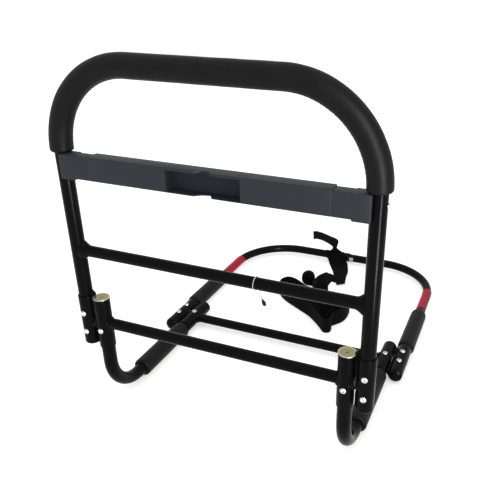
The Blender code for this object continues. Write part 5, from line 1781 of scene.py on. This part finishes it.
def smooth_stations(stations, steps=TAIL_STEPS):
    """Fill in stations along a smooth curve through the given ones."""
    full = [stations[0], *stations, stations[-1]]
    result = []
    for before, here, ahead, after in zip(full, full[1:], full[2:], full[3:]):
        for step in range(steps):
            share = step / steps
            result.append(tuple(
                curve_point(*(Vector(station[part]) for station in (before, here, ahead, after)), share)
                for part in (0, 1)
            ))
    return result + [(Vector(stations[-1][0]), Vector(stations[-1][1]))]


def curve_point(before, here, ahead, after, share):
    """Point between here and ahead on a smooth curve through four points."""
    return 0.5 * (
        2 * here
        + (ahead - before) * share
        + (2 * before - 5 * here + 4 * ahead - after) * share ** 2
        + (3 * here - before - 3 * ahead + after) * share ** 3
    )


def before_far_side(point, height):
    """Place on the floor's plan, from (x, distance in front of the loop's far side)."""
    x, distance = point
    return at(x, LOOP_REACH - distance, height)


def on_outline(points, turn):
    """Smooth closed curve through points; one turn runs through all of them once."""
    count = len(points)
    whole = math.floor(turn * count)
    near = (Vector(points[(whole + shift) % count]) for shift in (-1, 0, 1, 2))
    return curve_point(*near, turn * count - whole)


def flat_run_stations():
    """Webbing from the windings down to the floor and forward, its end folded under."""
    wide = sizes().webbing_width / 2
    half = half_thickness()
    front = LOOP_REACH - WRAP_CREST - GAP - half
    over = STRAP_FLOOR + half + 2 * half + GAP
    stations = []
    for level, table in ((0.0, FLAT_RUN_START), (over, FLAT_RUN_ON_FLOOR)):
        for (x, distance, height), shares in table:
            centre = at(x * MM, front - distance * MM, level + height * MM)
            stations.append((centre, tuple(share * wide for share in shares)))
    return smooth_stations(stations)


def edge_station(low, high):
    """Station of a strap from its two edges, each (x, distance before the far side, height)."""
    floor = STRAP_FLOOR + half_thickness()
    near, far = (before_far_side(edge[:2], floor + edge[2]) for edge in (low, high))
    return (near + far) / 2, (far - near) / 2


def hank_stations():
    """Webbing from under the fold: it turns on its edge, then winds round the hank's outline."""
    wide = sizes().webbing_width / 2
    centre = Vector(HANK_CENTRE)
    lead = [(Vector((*point, 0)), Vector()) for point in (*HANK_LEAD, HANK_OUTLINE[0])]
    route = [point.to_2d() for point, _ in smooth_stations(lead, HANK_LEAD_STEPS)][:-1]
    for step in range(HANK_TURNS * HANK_STEPS + 1):
        turn = step / HANK_STEPS
        route.append(centre + (on_outline(HANK_OUTLINE, turn) - centre) * HANK_SHRINK ** turn)
    stations = []
    for index, point in enumerate(route):
        before, after = route[max(0, index - 1)], route[min(len(route) - 1, index + 1)]
        along = (after - before).normalized()
        lean = HANK_LEAN * noise.noise(Vector((point.x, point.y, 0)) / HANK_LEAN_PATCH)
        rise = HANK_RISE * (1 + noise.noise(Vector((point.x, point.y, 3)) / HANK_RISE_PATCH))
        across = Vector((along.y * lean, along.x * lean, 1.0)).normalized() * wide
        stations.append((before_far_side(point, STRAP_FLOOR + wide + rise), across))
    opening = [edge_station(low, high) for low, high in LEAD_EDGES]
    return smooth_stations([*opening, stations[0], stations[4]])[:-TAIL_STEPS - 1] + stations


def roll_stations():
    """A spiral of webbing, its near end tipped up on the lead that twists down to the floor."""
    height = STRAP_FLOOR + half_thickness()
    start = before_far_side(ROLL_START, height)
    end = before_far_side(ROLL_END, height)
    across = (end - start).normalized() * sizes().webbing_width / 2
    centre = (start + end) / 2
    up = Vector((0, 0, 1))
    sideways = across.cross(up).normalized()
    radius = ROLL_CORE + ROLL_TURNS * ROLL_PITCH
    axis = centre + up * radius
    stations = [(centre + sideways * ROLL_LEAD * share, across, 1 - share)
                for share in ROLL_LEAD_SHARES]
    for step in range(round(ROLL_TURNS * ROLL_TURN_STEPS) + 1):
        turn = step / ROLL_TURN_STEPS
        angle = math.tau * turn
        reach = radius - turn * ROLL_PITCH
        offset = -sideways * math.sin(angle) - up * math.cos(angle)
        stations.append((axis + offset * reach, across, 1.0))
    tipped = []
    for place, half, share in stations:
        turned = Matrix.Rotation(-ROLL_TILT * eased(share), 3, sideways)
        tipped.append((end + turned @ (place - end), turned @ half))
    return tipped


def windings():
    """Webbing wound round the loop; each turn laps the one before."""
    wide = sizes().webbing_width
    profile = rib_profile(WRAP_LAYER)
    rings, along = [], []
    count = WRAP_TURNS * WRAP_STEPS
    for step in range(count + 1):
        turn = step / WRAP_STEPS
        angle = math.tau * turn + WRAP_START_ANGLE
        outwards = Vector((0, math.cos(angle), math.sin(angle)))
        left = WRAP_START + WRAP_ADVANCE * turn
        top, bottom = [], []
        for place, height in profile:
            x = left + wide * (place + 1) / 2
            edge_below = left - WRAP_ADVANCE + wide
            lap = (eased((edge_below - x) / WRAP_LAP_WIDTH)
                   * eased((turn - WRAP_LAP_START) / WRAP_LAP_TURN))
            seat = LOOP_RADIUS + GAP + lap * WRAP_LAYER
            top.append(at(x, LOOP_REACH, 0) + outwards * (seat + WRAP_LAYER / 2 + height))
            bottom.append(at(x, LOOP_REACH, 0) + outwards * (seat + WRAP_LAYER / 2 - height))
        rings.append(top + bottom[::-1])
        along.append(math.tau * turn * WRAP_CREST)
    return loft(rings, along)


def tail_stations():
    """Free end: a pinched neck that rises from the windings, then flat webbing to one side."""
    return smooth_stations([(before_far_side(place[:2], place[2]), across)
                            for place, across in TAIL])


def stitch_rows(stations):
    """Seams across a strap near its end, on both faces and just above them."""
    paths = []
    for from_end in SEAM_ROWS:
        (before, _), (centre, across) = stations[-from_end - 1], stations[-from_end]
        normal = across.cross(centre - before).normalized() * half_thickness()
        for face in (-1, 1):
            paths.append([centre + across * share + normal * face
                          for share in (-SEAM_REACH, SEAM_REACH)])
    return paths


def strap_keeper():
    """Narrow ring on the tube beside the windings."""
    ring = softened([(LOOP_BORE, 0), (KEEPER_RADIUS, 0), (KEEPER_RADIUS, KEEPER_WIDTH),
                     (LOOP_BORE, KEEPER_WIDTH), (LOOP_BORE, 0)], KEEPER_EDGE)[1:-1]
    return lathe(ring, aim(at(KEEPER_X, LOOP_REACH, 0), (1, 0, 0)))


def strap_clip():
    """Small light clip pressed round the tube beside the windings."""
    outline = softened([(0, 0), (CLIP_THICKNESS, 0), (CLIP_THICKNESS, CLIP_WIDTH), (0, CLIP_WIDTH)],
                       CLIP_EDGE)
    rings, along = [], []
    for step in range(CLIP_STEPS + 1):
        angle = CLIP_START + (CLIP_END - CLIP_START) * step / CLIP_STEPS
        outwards = Vector((0, math.cos(angle), math.sin(angle)))
        rings.append([at(CLIP_X - CLIP_WIDTH / 2 + beside, LOOP_REACH, 0)
                      + outwards * (LOOP_BORE + rise) for rise, beside in outline])
        along.append(angle * (LOOP_BORE + CLIP_THICKNESS))
    return loft(rings, along)


class BEDRAIL_OT_strap(bpy.types.Operator):
    """Wind, fold and sew the webbing strap"""

    bl_idname = "bed_rail.strap"
    bl_label = "Webbing strap"

    def execute(self, context):
        size = sizes()
        tail = tail_stations()
        pieces = (
            ("strap_windings", windings(), ["strap_wrap"]),
            ("strap_free_end", webbing(tail), ["strap_tail"]),
            ("strap_flat_run", webbing(flat_run_stations()), ["strap_band"]),
            ("strap_hank", webbing(hank_stations()), ["strap_bundle"]),
            ("strap_rolled_end", webbing(roll_stations()), []),
        )
        for name, mesh, nodes in pieces:
            publish(name, mesh, "loop", "webbing", nodes, crease=70.0)
        seams = grown(
            chains(stitch_rows(tail)), beads_along_path, Pitch=size.stitch_pitch,
            Radius=size.stitch_radius, Stretch=STITCH_STRETCH, Unevenness=STITCH_UNEVENNESS,
            Finish=finish_of("sewing_thread")
        )
        publish("strap_seams", seams, "loop", "webbing")
        publish("strap_keeper", strap_keeper(), "loop", "black_plastic")
        publish("strap_clip", strap_clip(), "loop", "nylon")
        return {"FINISHED"}


# Tag

def string_path():
    """Route of the string: up from the toggle, over the cross bar and back down."""
    radius = CROSS_RADIUS + GAP + STRING_RADIUS
    turn = []
    for step in range(STRING_WRAP_STEPS + 1):
        share = step / STRING_WRAP_STEPS
        angle = math.radians(STRING_WRAP * (share - 0.5))
        turn.append(CROSS_BAR + Vector((STRING_X + STRING_RADIUS * share,
                                        radius * math.sin(angle), radius * math.cos(angle))))
    spread = Vector((0, STRING_RADIUS + GAP, 0))
    near, far = TOGGLE_SEAT - spread, TOGGLE_SEAT + spread
    straight = TOGGLE_FALL * TOGGLE_RADIUS
    return [near, near - straight, *turn, far - straight, far]


def twisted_strands(path):
    """Two strands that turn round each other along a path."""
    length = path_length(path)
    count = round(length / STRING_STEP)
    along = [length * step / count for step in range(count + 1)]
    lean = STRING_RADIUS - STRING_STRAND_RADIUS
    strands = []
    for strand in range(2):
        rings = []
        for distance in along:
            point, _ = on_path(path, distance)
            direction = smooth_direction(path, distance, reach=1.5 * MM)
            beside = (Vector((1, 0, 0)) - direction * direction.x).normalized()
            above = direction.cross(beside)
            angle = math.tau * distance / STRING_LAY + math.pi * strand
            core = point + (beside * math.cos(angle) + above * math.sin(angle)) * lean
            rings.append(round_ring(core, beside, above, STRING_STRAND_RADIUS, STRING_SIDES))
        strands.append(loft(rings, along))
    return joined(strands)


def toggle_mesh():
    """Bullet-shaped lock of the tag, with a collar where the string goes in."""
    outline = [(TOGGLE_RADIUS * wide, TOGGLE_LENGTH * down) for wide, down in TOGGLE_OUTLINE]
    return lathe(softened(outline, TOGGLE_EDGE), aim(TOGGLE_SEAT + TOGGLE_FALL * GAP, TOGGLE_FALL),
                 BOLT_SIDES)


class BEDRAIL_OT_tag(bpy.types.Operator):
    """Tie the tag string round the cross bar and lock it with its toggle"""

    bl_idname = "bed_rail.tag"
    bl_label = "Tag string"

    def execute(self, context):
        toggle = publish("tag_lock", toggle_mesh(), "handle", "black_plastic", ["tag_toggle"])
        path = string_path()
        string = publish("tag_twine", twisted_strands(path), "handle", "string", ["tag_string"],
                         crease=60.0)
        return {"FINISHED"}


# Studio

def floor_finish():
    """Matt paper floor that looks white to the camera and in reflections, and keeps shadows."""
    material = bpy.data.materials.new("white_paper_floor")
    material.use_nodes = True
    tree = material.node_tree
    tree.nodes.clear()
    paper = add_node(tree, "ShaderNodeBsdfDiffuse", {"Color": (*colours().floor, 1.0)})
    glow = add_node(tree, "ShaderNodeEmission", {"Strength": FLOOR_GLOW})
    lit = add_node(tree, "ShaderNodeAddShader",
                   links={0: paper.outputs["BSDF"], 1: glow.outputs["Emission"]})
    mixed = add_node(tree, "ShaderNodeMixShader",
                     links={0: seen_directly(tree), 1: paper.outputs["BSDF"],
                            2: lit.outputs["Shader"]})
    add_node(tree, "ShaderNodeOutputMaterial", links={"Surface": mixed.outputs["Shader"]})
    return material


def seen_directly(tree):
    """Socket that is 1 for camera, glossy and transmission rays."""
    rays = add_node(tree, "ShaderNodeLightPath").outputs
    seen = rays["Is Camera Ray"]
    for kind in ("Is Glossy Ray", "Is Transmission Ray"):
        either = add_node(tree, "ShaderNodeMath", links={0: seen, 1: rays[kind]},
                          operation="MAXIMUM")
        seen = either.outputs[0]
    return seen


def white_room():
    world = bpy.data.worlds.new("white_room")
    world.use_nodes = True
    tree = world.node_tree
    tree.nodes.clear()
    dim, bright = (
        add_node(tree, "ShaderNodeBackground", {"Color": (1, 1, 1, 1), "Strength": strength})
        for strength in (bpy.context.scene.bed_rail_studio.sky, 1.0)
    )
    mixed = add_node(tree, "ShaderNodeMixShader",
                     links={0: seen_directly(tree), 1: dim.outputs[0], 2: bright.outputs[0]})
    add_node(tree, "ShaderNodeOutputWorld", links={"Surface": mixed.outputs["Shader"]})
    bpy.context.scene.world = world


def area_light(name, place, facing, width, height, power, on_matt=True):
    """Rectangular lamp; one that isn't on_matt only makes highlights."""
    light = bpy.data.lights.new(name, "AREA")
    light.shape = "RECTANGLE"
    light.size = width
    light.size_y = height
    light.energy = power
    obj = new_object(name, light)
    obj.location = place
    obj.rotation_euler = facing
    obj.visible_camera = False
    obj.visible_diffuse = on_matt


def photo_camera():
    camera = bpy.data.cameras.new("photo_camera")
    camera.sensor_width = CAMERA_SENSOR
    camera.lens = CAMERA_LENS
    camera.shift_x, camera.shift_y = CAMERA_SHIFT
    obj = new_object("photo_camera", camera)
    obj.location = CAMERA_PLACE
    obj.rotation_euler = [math.radians(angle) for angle in CAMERA_TURN]
    bpy.context.scene.camera = obj


class BEDRAIL_OT_studio(bpy.types.Operator):
    """Set the floor, the white room, the lights and the camera"""

    bl_idname = "bed_rail.studio"
    bl_label = "Studio"

    def execute(self, context):
        studio = context.scene.bed_rail_studio
        bm = bmesh.new()
        bmesh.ops.create_grid(bm, x_segments=FLOOR_SQUARES, y_segments=FLOOR_SQUARES, size=FLOOR_HALF)
        mesh = to_mesh(bm, "studio_floor")
        mesh.materials.append(floor_finish())
        floor = new_object("studio_floor", mesh)
        white_room()
        side_on = math.radians(KEY_AZIMUTH)
        leg = at(HANDLE_HALF_WIDTH, 0, 0)
        away = Vector((math.sin(side_on), -math.cos(side_on), 0))
        key = leg + away * KEY_DISTANCE
        area_light("key_light", (key.x, key.y, KEY_HEIGHT / 2), (math.pi / 2, 0, side_on),
                   KEY_WIDTH, KEY_HEIGHT, studio.key_power, False)
        glow = leg + away * (GLOW_START + GLOW_LENGTH / 2)
        area_light("key_reflection", (glow.x, glow.y, OVERRUN), (math.pi, 0, side_on),
                   GLOW_WIDTH, GLOW_LENGTH, studio.key_power * GLOW_SHARE, False)
        area_light("top_light", TOP_LIGHT_PLACE, (0, 0, 0), TOP_LIGHT_WIDTH, TOP_LIGHT_WIDTH,
                   studio.top_power)
        photo_camera()
        context.scene.view_settings.view_transform = "Standard"
        return {"FINISHED"}


class BEDRAIL_PT_panel(bpy.types.Panel):
    """Sizes, colours and steps of the bed rail"""

    bl_idname = "BEDRAIL_PT_panel"
    bl_label = "Bed rail"
    bl_space_type = "VIEW_3D"
    bl_region_type = "UI"
    bl_category = "Bed rail"

    def draw(self, context):
        scene = context.scene
        for group in (scene.bed_rail_sizes, scene.bed_rail_colours, scene.bed_rail_studio):
            box = self.layout.box()
            for key in group.__annotations__:
                box.prop(group, key)
        for operator in OPERATORS:
            self.layout.operator(operator.bl_idname)


GROUPS = (
    ("bed_rail_sizes", BedRailSizes),
    ("bed_rail_colours", BedRailColours),
    ("bed_rail_studio", BedRailStudio),
)
OPERATORS = (
    BEDRAIL_OT_finishes,
    BEDRAIL_OT_tubes,
    BEDRAIL_OT_hinges,
    BEDRAIL_OT_welds,
    BEDRAIL_OT_fasteners,
    BEDRAIL_OT_caps,
    BEDRAIL_OT_foam,
    BEDRAIL_OT_light_bar,
    BEDRAIL_OT_bands,
    BEDRAIL_OT_strap,
    BEDRAIL_OT_tag,
    BEDRAIL_OT_studio,
)


def register():
    for name, group in GROUPS:
        bpy.utils.register_class(group)
        setattr(bpy.types.Scene, name, bpy.props.PointerProperty(type=group))
    for cls in (*OPERATORS, BEDRAIL_PT_panel):
        bpy.utils.register_class(cls)


def unregister():
    for cls in reversed((*OPERATORS, BEDRAIL_PT_panel)):
        bpy.utils.unregister_class(cls)
    for name, group in reversed(GROUPS):
        delattr(bpy.types.Scene, name)
        bpy.utils.unregister_class(group)


def main():
    register()
    for operator in OPERATORS:
        step = getattr(bpy.ops.bed_rail, operator.bl_idname.split(".")[1])
        if step() != {"FINISHED"}:
            raise RuntimeError(f"{operator.bl_label} didn't finish")


if __name__ == "__main__":
    main()
